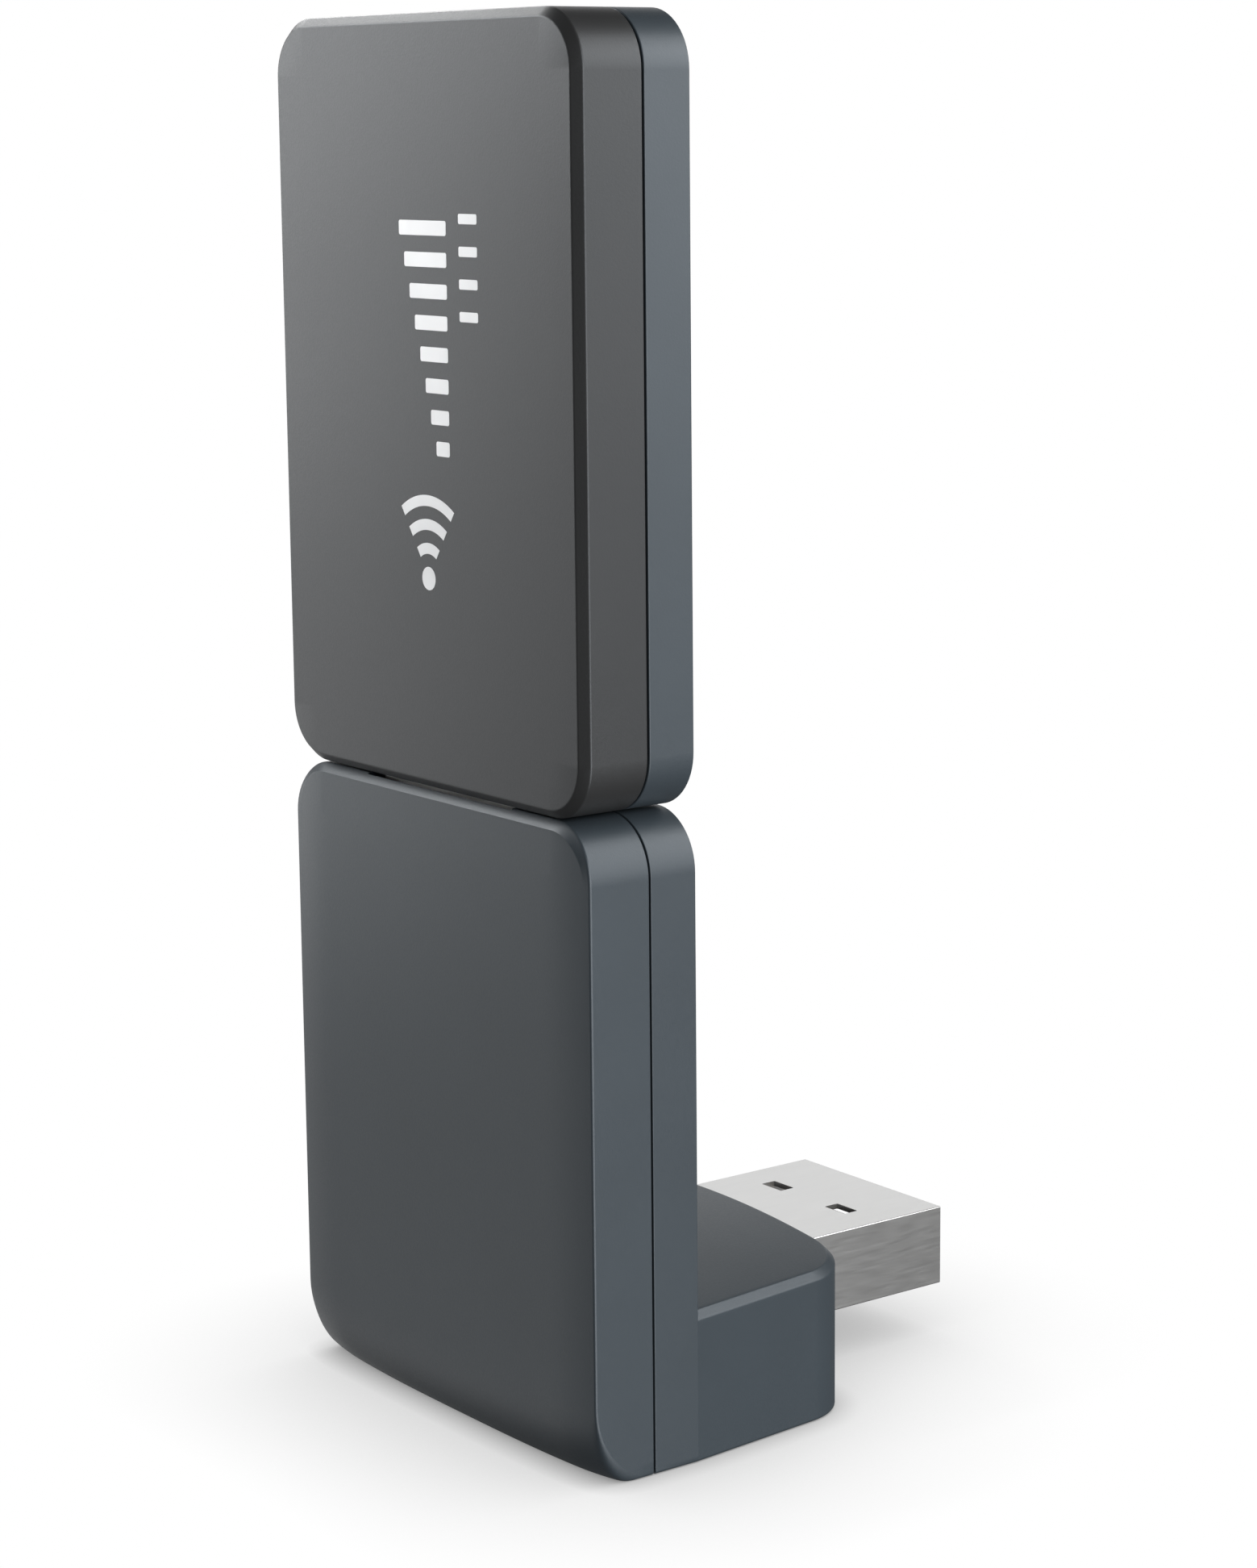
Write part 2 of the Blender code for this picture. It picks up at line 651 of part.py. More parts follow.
def build_adapter_boards(finishes):
    """An upright board below the socket and a flat one before the plug, joined by four wires."""
    socket_tail = THICKNESS / 2 + TONGUE_OFFSET + CONTACT_SINK
    upright_rear = socket_tail - SOLDER_GAP
    upright_top = SOCKET_MOUTH - SOCKET_DEPTH - SOCKET_BOARD_TOP_GAP
    plate("socket_board", SOCKET_BOARD_HALF_WIDTH, SOCKET_BOARD_BASE, upright_top,
          upright_rear - BOARD_THICKNESS, upright_rear, SOCKET_BOARD_CORNER, finishes["board"])
    plug_tail = FOOT_PLUG_HEIGHT - PLUG_HEIGHT / 2 + SHEET + PLUG_CLEARANCE
    plug_tail += INSULATOR_HEIGHT - CONTACT_SINK - CONTACT_THICKNESS
    flat_top = plug_tail - SOLDER_GAP
    block(
        "plug_board",
        (-PLUG_BOARD_HALF_WIDTH, FRONT + PLUG_BOARD_START, flat_top - BOARD_THICKNESS),
        (PLUG_BOARD_HALF_WIDTH, FRONT + HEEL_PLUG_START - PLUG_BOARD_GAP, flat_top),
        finishes["board"],
    )
    start = Vector((0.0, FRONT + WIRE_FOOT_DEPTH, plug_tail))
    end = Vector((0.0, FRONT + socket_tail, WIRE_HEAD_HEIGHT))
    for number, x in enumerate(CONTACT_OFFSETS, start=1):
        build_wire(f"link_wire_{number}", x, start, end, finishes[f"wire_{number}"])


def build_wire(name, x, start, end, finish):
    """A quarter of an ellipse that leaves the flat board upwards and meets the upright one square."""
    curve = bpy.data.curves.new(name, "CURVE")
    curve.dimensions = "3D"
    curve.bevel_depth = WIRE_RADIUS
    curve.bevel_resolution = 2
    curve.use_fill_caps = True
    curve.render_resolution_u = 0
    spline = curve.splines.new("POLY")
    spline.points.add(WIRE_POINTS - 1)
    for index, point in enumerate(spline.points):
        angle = math.pi / 2 * index / (WIRE_POINTS - 1)
        y = end.y + (start.y - end.y) * math.cos(angle)
        z = start.z + (end.z - start.z) * math.sin(angle)
        point.co = (0.0, y, z, 1.0)
    curve.materials.append(finish)
    wire = bpy.data.objects.new(name, curve)
    bpy.context.scene.collection.objects.link(wire)
    wire.location.x = x


def slide_axis(name, location):
    """An empty on the line along which the dongle pulls out."""
    axis = bpy.data.objects.new(name, None)
    axis.empty_display_type = "SINGLE_ARROW"
    axis.empty_display_size = 15 * MM
    axis.location = location
    bpy.context.scene.collection.objects.link(axis)
    return axis


def attach(pieces, parent):
    offset = Matrix.Translation(parent.location).inverted()
    for piece in pieces:
        piece.parent = parent
        piece.matrix_parent_inverse = offset
        for modifier in piece.modifiers:
            modifier.object.parent = parent
            modifier.object.matrix_parent_inverse = offset


def build():
    remove_everything()
    finishes = {
        "sheet": material("nickel_plated_steel", (0.62, 0.62, 0.61), 0.28, 1.0),
        "insulator": material("black_insulator", (0.022, 0.022, 0.024), 0.5),
        "contact": material("gold_plating", (0.83, 0.62, 0.26), 0.25, 1.0),
        "board": material("green_board", (0.02, 0.13, 0.06), 0.45),
        "chip": material("chip_epoxy", (0.03, 0.03, 0.033), 0.55),
        "can": material("tinned_steel", (0.58, 0.59, 0.58), 0.35, 1.0),
        "ceramic": material("white_ceramic", (0.62, 0.55, 0.44), 0.5),
        "wire_1": material("red_wire", (0.45, 0.03, 0.02), 0.45),
        "wire_2": material("white_wire", (0.70, 0.70, 0.68), 0.45),
        "wire_3": material("green_wire", (0.03, 0.25, 0.07), 0.45),
        "wire_4": material("black_wire", (0.02, 0.02, 0.02), 0.45),
    }
    graphite = material("graphite_plastic", (0.085, 0.087, 0.090), 0.42)
    slate = material("slate_plastic", (0.062, 0.072, 0.080), 0.45)

    dongle = build_dongle_covers(graphite, slate)
    plug_pieces, plug_tools = build_plug("dongle_plug", DONGLE_PLUG_LENGTH, finishes)
    place(plug_pieces + plug_tools, (0.0, PLUG_LINE, DONGLE_TIP), -math.pi / 2)
    dongle += plug_pieces
    dongle += build_dongle_electronics(finishes)
    attach(dongle, slide_axis("dongle_slide_axis", (0.0, PLUG_LINE, ADAPTER_HEIGHT)))

    build_adapter_front(slate)
    build_adapter_rear(slate)
    socket_pieces, socket_tools = build_socket(finishes)
    place(socket_pieces + socket_tools, (0.0, PLUG_LINE, SOCKET_MOUTH), -math.pi / 2)
    plug_pieces, plug_tools = build_plug("adapter_plug", OVERALL_DEPTH - HEEL_PLUG_START, finishes)
    place(plug_pieces + plug_tools, (0.0, FRONT + OVERALL_DEPTH, FOOT_PLUG_HEIGHT), 0.0)
    build_adapter_boards(finishes)


build()
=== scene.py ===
"""Looks of a USB radio dongle standing in a right-angle adapter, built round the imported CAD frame.

Metres, +Z up, -Y to the front. Depth is counted from the front face towards +Y.
A cover is carried round stations: each is a point of its outline and the way that point moves for
every metre of inset. A profile of (inset, depth) pairs, swept round the stations, makes the shell.
"""

import json
import math

import bmesh
import bpy
from mathutils import Matrix, Vector


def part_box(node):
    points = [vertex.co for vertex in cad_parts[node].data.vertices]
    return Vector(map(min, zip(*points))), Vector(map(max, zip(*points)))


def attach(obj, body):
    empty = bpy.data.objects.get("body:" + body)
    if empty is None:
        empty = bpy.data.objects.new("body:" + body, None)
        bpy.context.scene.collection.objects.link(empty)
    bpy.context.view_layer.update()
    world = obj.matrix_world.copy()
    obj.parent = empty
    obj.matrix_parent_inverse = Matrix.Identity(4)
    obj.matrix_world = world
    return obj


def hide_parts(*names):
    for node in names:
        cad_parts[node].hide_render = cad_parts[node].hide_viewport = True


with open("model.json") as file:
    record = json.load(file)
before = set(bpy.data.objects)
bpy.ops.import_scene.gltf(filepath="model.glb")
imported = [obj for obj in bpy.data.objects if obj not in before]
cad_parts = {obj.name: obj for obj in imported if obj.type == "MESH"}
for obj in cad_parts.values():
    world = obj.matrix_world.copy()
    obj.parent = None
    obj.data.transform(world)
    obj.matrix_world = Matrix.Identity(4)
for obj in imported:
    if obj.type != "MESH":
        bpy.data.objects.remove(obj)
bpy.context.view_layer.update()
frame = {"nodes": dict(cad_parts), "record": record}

MM = 0.001
SHARP_ANGLE = math.radians(38)
WELD_REACH = 0.0002 * MM
SOFT_STEPS = 3

# Sizes read from the frame
FRONT_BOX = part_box("dongle_front_cover")
BACK_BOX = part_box("dongle_rear_cover")
LOWER_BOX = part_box("adapter_front_cover")
FOOT_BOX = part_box("adapter_rear_cover")
HALF_WIDTH = FRONT_BOX[1].x
FRONT = FRONT_BOX[0].y
THICKNESS = BACK_BOX[1].y - FRONT
DONGLE_BASE = FRONT_BOX[0].z
DONGLE_TOP = FRONT_BOX[1].z
ADAPTER_TOP = LOWER_BOX[1].z
FOOT_DEPTH = FOOT_BOX[1].y - FRONT

# Sizes of the covers
CORNER_RADIUS = 3.0 * MM
CORNER_STEPS = 16
EDGE_CHAMFER = 0.46 * MM
REAR_EDGE = 0.09 * MM
SEAM_GAP = 0.12 * MM
SEAM_FRONT = FRONT_BOX[1].y - FRONT
SEAM_REAR = SEAM_FRONT + SEAM_GAP
LIP_REACH = 0.9 * MM
LIP_CLEARANCE = 0.08 * MM
REBATE = 0.5 * MM
WALL = 1.1 * MM
FACE_WALL = 1.0 * MM
SOFT_EDGE = 0.07 * MM
SEAM_EDGE = 0.05 * MM
DEEPEST_OFFSET = 2.6 * MM
CORE_INSET = 5.0 * MM

# The adapter's crowned face and its rolled toe
SHOULDER_WIDTH = 3.4 * MM
SHOULDER_DROP = 0.28 * MM
SHOULDER_ROUND = 0.10 * MM
TOP_DROP = 0.14 * MM
RIM_EDGE = 0.03 * MM
FACE_INSETS = [inset * MM for inset in (5.0, 4.4, 3.8, 3.2, 2.6, 2.2, 1.8, 1.4, 1.1, 0.8, 0.6, 0.5, 0.46,
                                        0.42, 0.3, 0.2, 0.16, 0.12, 0.08, 0.045, 0.02, 0.0)]
TOE_RADIUS = 4.5 * MM
TOE_HEIGHT = 4.3 * MM
TOE_SHARE_MIDDLE = 0.41
TOE_SHARE_SIDE = 0.20
TOE_SHARE_CORNER = 0.39
TOE_CORNER_POWER = 120
BASE_EDGE = 0.2 * MM
BASE_EDGE_STEPS = 4
BASE_STEPS = 16
SIDE_STEPS = 17
SIDE_CROWDING = 1.3
SIDE_LEAN = 0.2

# The adapter's foot
FLUSH_GAP = 0.004 * MM
FOOT_TAPER = 0.092
FOOT_CORNER_RADIUS = 3.6 * MM
FOOT_CORNER_STEPS = 18
FOOT_CROWN_HEIGHT = 9.26 * MM
FOOT_CROWN_FALL = 1.18 * MM
FOOT_CROWN_HALF = 13.02 * MM
FOOT_CHAMFER = 0.42 * MM
FOOT_WALL = 1.2 * MM
FOOT_COLUMNS = 28
FOOT_EDGE_MARGIN = 0.2 * MM
HOLLOW_OVERLAP = 0.4 * MM
REAR_RIM = 0.3 * MM
OVERCUT = 1.0 * MM
PLUG_CLEARANCE = 0.05 * MM
SOCKET_CLEARANCE = 0.06 * MM
BAY_DEPTH = 0.5 * MM

# Plugs
SHEET = 0.3 * MM
SHEET_OUTER_CORNER = 0.06 * MM
SHEET_INNER_CORNER = 0.03 * MM
SHEET_CORNER_STEPS = 5
SHEET_EDGE = 0.05 * MM
PLUG_LEAD_IN = 0.1 * MM
SOCKET_LEAD_IN = 0.14 * MM
LATCH_HOLE_OFFSET = 2.82 * MM
LATCH_HOLE_WIDTH = 1.75 * MM
LATCH_HOLE_LENGTH = 0.95 * MM
LATCH_HOLE_SETBACK = 4.70 * MM
HOLE_CORNER = 0.08 * MM
JOINT_WIDTH = 0.05 * MM
DOVETAIL_START = 6.6 * MM
DOVETAIL_END = 8.6 * MM
DOVETAIL_REACH = 1.2 * MM
DOVETAIL_FLARE = 0.4 * MM
CORE_EDGE = 0.1 * MM
GROOVE_GAP = 0.05 * MM
CONTACT_SINK = 0.03 * MM
CONTACT_COUNT = 4
STRIP_EASE = 0.22
HUMP_STEPS = 28

# Socket
TONGUE_ROOT = 12.15 * MM
TONGUE_HALF_WIDTH = 5.55 * MM
TONGUE_THICKNESS = 1.84 * MM
TONGUE_EDGE = 0.22 * MM
CONTACT_CREST = 4.6 * MM
CONTACT_BOW = 0.09 * MM
CONTACT_BOW_SPAN = 2.6 * MM
LEAF_OFFSET = 3.3 * MM
LEAF_WIDTH = 1.9 * MM
LEAF_THICKNESS = 0.2 * MM
LEAF_GAP = 0.18 * MM
LEAF_START = 2.6 * MM
LEAF_END = 9.0 * MM
LEAF_ROOT = 0.4 * MM
LEAF_CREST = 4.4 * MM
LEAF_BOW = 0.26 * MM
LEAF_BOW_SPAN = 2.8 * MM

# Printed mark on the dongle's face
PRINT_DEPTH = 0.01 * MM
MARK_LEFT = -1.75 * MM
MARK_RIGHT = 2.45 * MM
MARK_BASE = 44.5 * MM
FAN_DOT = 0.6 * MM
FAN_PITCH = 1.22 * MM
FAN_STROKE = 0.56 * MM
FAN_HALF_ANGLE = 34.0
BARS_BASE = 51.4 * MM
BAR_COUNT = 8
BAR_PITCH = 1.57 * MM
BAR_HEIGHT = 0.74 * MM
STROKES_LEFT = 3.55 * MM
STROKES_RIGHT = 5.15 * MM
STROKES_BASE = 58.2 * MM
STROKE_PITCH = 1.6 * MM
STROKE_HEIGHT = 0.5 * MM
STROKE_COUNT = 4
STROKE_CORNER = 0.1 * MM
BAR_CORNER = 0.12 * MM
SHORTEST_BAR = 0.28
WAVE_COUNT = 3
WAVE_STEPS = 24
DOT_STEPS = 36
PRINT_CORNER_STEPS = 5


# ---------------------------------------------------------------------------------------------
# Materials


def new_material(name):
    """A node material, its node tree and its shader."""
    result = bpy.data.materials.new(name)
    result.use_nodes = True
    tree = result.node_tree
    shader = tree.nodes["Principled BSDF"]
    return result, tree, shader


def add_node(tree, kind, **values):
    """A node whose named sockets or properties are set to the given values."""
    node = tree.nodes.new(kind)
    for key, value in values.items():
        if key in node.inputs:
            node.inputs[key].default_value = value
        else:
            setattr(node, key, value)
    return node


def grain(tree, scale, detail=2.0, stretch=(1.0, 1.0, 1.0)):
    """Noise in the piece's own coordinates; scale counts features per metre."""
    place = add_node(tree, "ShaderNodeTexCoord")
    mapping = add_node(tree, "ShaderNodeMapping")
    mapping.inputs["Scale"].default_value = stretch
    tree.links.new(place.outputs["Object"], mapping.inputs["Vector"])
    noise = add_node(tree, "ShaderNodeTexNoise", Scale=scale, Detail=detail, Roughness=0.55)
    tree.links.new(mapping.outputs["Vector"], noise.inputs["Vector"])
    return noise.outputs["Fac"]


def spread(tree, source, low, high):
    """A number that runs from low to high over the middle half of the noise."""
    node = add_node(tree, "ShaderNodeMapRange")
    node.inputs["From Min"].default_value = 0.3
    node.inputs["From Max"].default_value = 0.7
    node.inputs["To Min"].default_value = low
    node.inputs["To Max"].default_value = high
    tree.links.new(source, node.inputs["Value"])
    return node.outputs["Result"]


def tint(tree, source, dark, light):
    """A colour between two, following the noise."""
    ramp = add_node(tree, "ShaderNodeValToRGB")
    ramp.color_ramp.elements[0].position = 0.3
    ramp.color_ramp.elements[0].color = (*dark, 1.0)
    ramp.color_ramp.elements[1].position = 0.7
    ramp.color_ramp.elements[1].color = (*light, 1.0)
    tree.links.new(source, ramp.inputs["Fac"])
    return ramp.outputs["Color"]


def scaled(colour, factor):
    return tuple(channel * factor for channel in colour)


def add_bump(tree, shader, source, height):
    bump = add_node(tree, "ShaderNodeBump", Strength=1.0, Distance=height)
    tree.links.new(source, bump.inputs["Height"])
    tree.links.new(bump.outputs["Normal"], shader.inputs["Normal"])


def textured(name, colour, roughness, metallic=0.0, vary=0.05, fine=9000.0, bump=0.004 * MM,
             stretch=(1.0, 1.0, 1.0), specular=0.5, sheen_hue=(1.0, 1.0, 1.0)):
    """A surface with slow colour drift, uneven gloss and a fine moulded or rolled grain."""
    result, tree, shader = new_material(name)
    shader.inputs["Metallic"].default_value = metallic
    shader.inputs["Specular IOR Level"].default_value = specular
    shader.inputs["Specular Tint"].default_value = (*sheen_hue, 1.0)
    drift = grain(tree, fine / 60, 3.0, stretch)
    tree.links.new(tint(tree, drift, scaled(colour, 1 - vary), scaled(colour, 1 + vary)),
                   shader.inputs["Base Color"])
    speckle = grain(tree, fine, 2.0, stretch)
    tree.links.new(spread(tree, speckle, roughness * 0.93, roughness * 1.07), shader.inputs["Roughness"])
    add_bump(tree, shader, speckle, bump)
    return result


def board_material(name):
    """Green solder mask with raised tracks under it."""
    result, tree, shader = new_material(name)
    place = add_node(tree, "ShaderNodeTexCoord")
    tracks = add_node(tree, "ShaderNodeTexBrick", Scale=900.0)
    tracks.inputs["Color1"].default_value = (0.012, 0.10, 0.045, 1.0)
    tracks.inputs["Color2"].default_value = (0.016, 0.12, 0.055, 1.0)
    tracks.inputs["Mortar"].default_value = (0.03, 0.21, 0.10, 1.0)
    tracks.inputs["Mortar Size"].default_value = 0.03
    turn = add_node(tree, "ShaderNodeMapping")
    turn.inputs["Rotation"].default_value = (math.radians(90), 0.0, 0.0)
    tree.links.new(place.outputs["Object"], turn.inputs["Vector"])
    tree.links.new(turn.outputs["Vector"], tracks.inputs["Vector"])
    tree.links.new(tracks.outputs["Color"], shader.inputs["Base Color"])
    tree.links.new(spread(tree, grain(tree, 4000.0), 0.32, 0.42), shader.inputs["Roughness"])
    add_bump(tree, shader, tracks.outputs["Fac"], 0.02 * MM)
    return result


GRAPHITE = (0.018, 0.018, 0.018)
SLATE = (0.027, 0.035, 0.042)

FINISHES = {
    "graphite_plastic": textured("graphite_plastic", GRAPHITE, 0.42, specular=0.44,
                                 sheen_hue=(0.94, 1.0, 1.06)),
    "slate_plastic": textured("slate_plastic", SLATE, 0.42, specular=0.51, sheen_hue=(0.94, 1.0, 1.06)),
    "silver_print": textured("silver_print", (0.80, 0.81, 0.82), 0.38, metallic=0.2, fine=14000.0),
    "nickel_plate": textured("nickel_plate", (0.68, 0.68, 0.675), 0.30, metallic=1.0, vary=0.02,
                             fine=6000.0, bump=0.0008 * MM, stretch=(1.0, 0.08, 1.0)),
    "gold_plate": textured("gold_plate", (0.83, 0.60, 0.24), 0.24, metallic=1.0, vary=0.03,
                           fine=5000.0, bump=0.0008 * MM, stretch=(1.0, 0.1, 1.0)),
    "black_insulator": textured("black_insulator", (0.030, 0.030, 0.032), 0.48, vary=0.08),
    "circuit_board": board_material("circuit_board"),
    "chip_epoxy": textured("chip_epoxy", (0.030, 0.030, 0.033), 0.58, vary=0.12, bump=0.006 * MM),
    "tinned_steel": textured("tinned_steel", (0.58, 0.59, 0.58), 0.36, metallic=1.0, fine=4000.0),
    "ceramic": textured("ceramic", (0.62, 0.55, 0.44), 0.45, vary=0.06, fine=7000.0),
    "red_wire": textured("red_wire", (0.45, 0.03, 0.02), 0.40, fine=3000.0),
    "white_wire": textured("white_wire", (0.70, 0.70, 0.68), 0.40, fine=3000.0),
    "green_wire": textured("green_wire", (0.03, 0.25, 0.07), 0.40, fine=3000.0),
    "black_wire": textured("black_wire", (0.02, 0.02, 0.02), 0.40, fine=3000.0),
}


# ---------------------------------------------------------------------------------------------
# Mesh tools


def shade(mesh):
    mesh.shade_smooth()
    mesh.set_sharp_from_angle(angle=SHARP_ANGLE)


def mesh_object(name, bm):
    """The finished body as an object, with its faces pointing out."""
    bmesh.ops.remove_doubles(bm, verts=bm.verts, dist=WELD_REACH)
    bmesh.ops.recalc_face_normals(bm, faces=bm.faces)
    mesh = bpy.data.meshes.new(name)
    bm.to_mesh(mesh)
    bm.free()
    obj = bpy.data.objects.new(name, mesh)
    bpy.context.scene.collection.objects.link(obj)
    return obj


def loft(name, rings, closed=False):
    """Join matching rings of points into one body, capped at both ends unless it closes on itself."""
    bm = bmesh.new()
    loops = [[bm.verts.new(point) for point in ring] for ring in rings]
    pairs = list(zip(loops, loops[1:]))
    if closed:
        pairs.append((loops[-1], loops[0]))
    for near, far in pairs:
        for index in range(len(near)):
            after = (index + 1) % len(near)
            bm.faces.new((near[index], near[after], far[after], far[index]))
    if not closed:
        bm.faces.new(loops[0])
        bm.faces.new(reversed(loops[-1]))
    return mesh_object(name, bm)


def block(name, low, high, edge=0.0):
    """A box between two opposite corners, with its edges rounded where an edge is given."""
    centre = (Vector(low) + Vector(high)) / 2
    size = Vector(high) - Vector(low)
    bm = bmesh.new()
    bmesh.ops.create_cube(bm, size=1.0, matrix=Matrix.Translation(centre) @ Matrix.Diagonal((*size, 1.0)))
    if edge:
        bmesh.ops.bevel(bm, geom=bm.edges[:], offset=edge, segments=3, profile=0.5, affect="EDGES")
    return mesh_object(name, bm)


def combine(target, tool, operation):
    """Apply a Boolean with the tool, which is then removed."""
    modifier = target.modifiers.new("combine", "BOOLEAN")
    modifier.operation = operation
    modifier.solver = "EXACT"
    modifier.object = tool
    evaluated = target.evaluated_get(bpy.context.evaluated_depsgraph_get())
    result = bpy.data.meshes.new_from_object(evaluated)
    old = target.data
    target.modifiers.clear()
    target.data = result
    result.name = target.name
    bpy.data.meshes.remove(old)
    bpy.data.objects.remove(tool, do_unlink=True)


def cut(target, tool):
    combine(target, tool, "DIFFERENCE")


def weld(target, tool):
    combine(target, tool, "UNION")


def soften(corners, radius):
    """Replace each inner corner of a polyline with a small round."""
    points = [Vector(corners[0])]
    for before, corner, after in zip(corners, corners[1:], corners[2:]):
        middle = Vector(corner)
        back = Vector(before) - middle
        ahead = Vector(after) - middle
        reach = min(radius, 0.45 * back.length, 0.45 * ahead.length)
        start = middle + back.normalized() * reach
        end = middle + ahead.normalized() * reach
        for step in range(SOFT_STEPS + 1):
            t = step / SOFT_STEPS
            points.append((1 - t) ** 2 * start + 2 * t * (1 - t) * middle + t * t * end)
    points.append(Vector(corners[-1]))
    return points


def finish_piece(obj, body, slot, *nodes):
    """Give the piece its material and shading, tie it to its body, and hide the CAD nodes it stands for.
    """
    obj.data.materials.clear()
    obj.data.materials.append(FINISHES[slot])
    shade(obj.data)
    normals = obj.modifiers.new("even_shading", "WEIGHTED_NORMAL")
    normals.keep_sharp = True
    normals.weight = 80
    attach(obj, body)
    if nodes:
        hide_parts(*nodes)


# ---------------------------------------------------------------------------------------------
# Outlines of the two modules


def quarter(centre_x, centre_z, radius, start_degrees):
    """Stations along a round corner, anticlockwise; they move towards its centre."""
    for step in range(CORNER_STEPS + 1):
        angle = math.radians(start_degrees + 90 * step / CORNER_STEPS)
        way = Vector((math.cos(angle), math.sin(angle)))
        yield Vector((centre_x, centre_z)) + radius * way, -way


def dongle_stations():
    """Four round corners, anticlockwise seen from the front."""
    reach = HALF_WIDTH - CORNER_RADIUS
    low = DONGLE_BASE + CORNER_RADIUS
    high = DONGLE_TOP - CORNER_RADIUS
    stations = list(quarter(reach, low, CORNER_RADIUS, 270))
    stations += quarter(reach, high, CORNER_RADIUS, 0)
    stations += quarter(-reach, high, CORNER_RADIUS, 90)
    stations += quarter(-reach, low, CORNER_RADIUS, 180)
    return stations


def adapter_stations():
    """A nearly square base with many points near its corners, straight sides and round top corners."""
    flat = HALF_WIDTH - BASE_EDGE
    rise = ADAPTER_TOP - CORNER_RADIUS
    half = []
    for step in range(1, BASE_STEPS + 1):
        fraction = 1 - (1 - step / BASE_STEPS) ** 2
        half.append((Vector((fraction * flat, 0.0)), Vector((-fraction, 1.0))))
    for step in range(1, BASE_EDGE_STEPS):
        angle = math.radians(-90 + 90 * step / BASE_EDGE_STEPS)
        spot = Vector((flat + BASE_EDGE * math.cos(angle), BASE_EDGE + BASE_EDGE * math.sin(angle)))
        half.append((spot, Vector((-1.0, 1.0))))
    for step in range(SIDE_STEPS + 1):
        fraction = SIDE_LEAN * (step / SIDE_STEPS) ** SIDE_CROWDING
        spot = Vector((HALF_WIDTH, BASE_EDGE + fraction * (rise - BASE_EDGE)))
        half.append((spot, Vector((-1.0, 1 - fraction))))
    half += quarter(HALF_WIDTH - CORNER_RADIUS, rise, CORNER_RADIUS, 0)
    mirrored = [(Vector((-edge.x, edge.y)), Vector((-way.x, way.y))) for edge, way in reversed(half)]
    return [(Vector((0.0, 0.0)), Vector((0.0, 1.0)))] + half + mirrored


def spot_at(station, inset):
    """Where a station is at an inset; past the deepest offset it heads for a smaller copy inside."""
    edge, way = station
    near = edge + way * min(inset, DEEPEST_OFFSET)
    if inset <= DEEPEST_OFFSET:
        return near
    share = (inset - DEEPEST_OFFSET) / (CORE_INSET - DEEPEST_OFFSET)
    middle = ADAPTER_TOP / 2
    core = Vector((edge.x * (1 - CORE_INSET / HALF_WIDTH),
                   middle + (edge.y - middle) * (1 - CORE_INSET / middle)))
    return near.lerp(core, share)


def sweep(name, stations, profiles):
    """Carry each station's own profile of (inset, depth) pairs round the outline."""
    columns = []
    for station, profile in zip(stations, profiles):
        spots = [(spot_at(station, inset), depth) for inset, depth in profile]
        columns.append([Vector((spot.x, FRONT + depth, spot.y)) for spot, depth in spots])
    return loft(name, [list(ring) for ring in zip(*columns)])


def seam_profile_front():
    """From the outer side at the parting line to the inner wall."""
    step = SEAM_FRONT - LIP_REACH - LIP_CLEARANCE
    return [(0.0, SEAM_FRONT), (REBATE, SEAM_FRONT), (REBATE, step), (WALL, step)]


def seam_profile_rear():
    lip_end = SEAM_REAR - SEAM_GAP - LIP_REACH
    lip_outer = REBATE + LIP_CLEARANCE
    return [(0.0, SEAM_REAR), (lip_outer, SEAM_REAR), (lip_outer, lip_end), (WALL, lip_end)]


# ---------------------------------------------------------------------------------------------
# Dongle covers


def plug_opening():
    """A cutter for the opening in the dongle's base, a little larger than its plug."""
    low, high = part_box("dongle_plug_shell")
    gap = Vector((PLUG_CLEARANCE, PLUG_CLEARANCE, 0.0))
    low = low - gap
    high = high + gap
    return block("opening", (low.x, low.y, DONGLE_BASE - OVERCUT),
                 (high.x, high.y, DONGLE_BASE + WALL + OVERCUT))


def build_dongle_covers():
    stations = dongle_stations()
    face = soften([(DEEPEST_OFFSET, 0.0), (EDGE_CHAMFER, 0.0), (0.0, EDGE_CHAMFER), (0.0, SEAM_FRONT),
                   (REBATE, SEAM_FRONT)], SOFT_EDGE)
    inside = seam_profile_front()[2:] + [(WALL, FACE_WALL), (DEEPEST_OFFSET, FACE_WALL)]
    front = sweep("dongle_front_shell", stations, [face + inside] * len(stations))
    cut(front, plug_opening())
    finish_piece(front, "dongle", "graphite_plastic", "dongle_front_cover")

    back = soften([(DEEPEST_OFFSET, THICKNESS), (REAR_EDGE, THICKNESS), (0.0, THICKNESS - REAR_EDGE),
                   (0.0, SEAM_REAR), (REBATE + LIP_CLEARANCE, SEAM_REAR)], SOFT_EDGE)
    inner_depth = THICKNESS - FACE_WALL
    inside = seam_profile_rear()[2:] + [(WALL, inner_depth), (DEEPEST_OFFSET, inner_depth)]
    rear = sweep("dongle_rear_shell", stations, [back + inside] * len(stations))
    cut(rear, plug_opening())
    finish_piece(rear, "dongle", "slate_plastic", "dongle_rear_cover")


# ---------------------------------------------------------------------------------------------
# Adapter covers


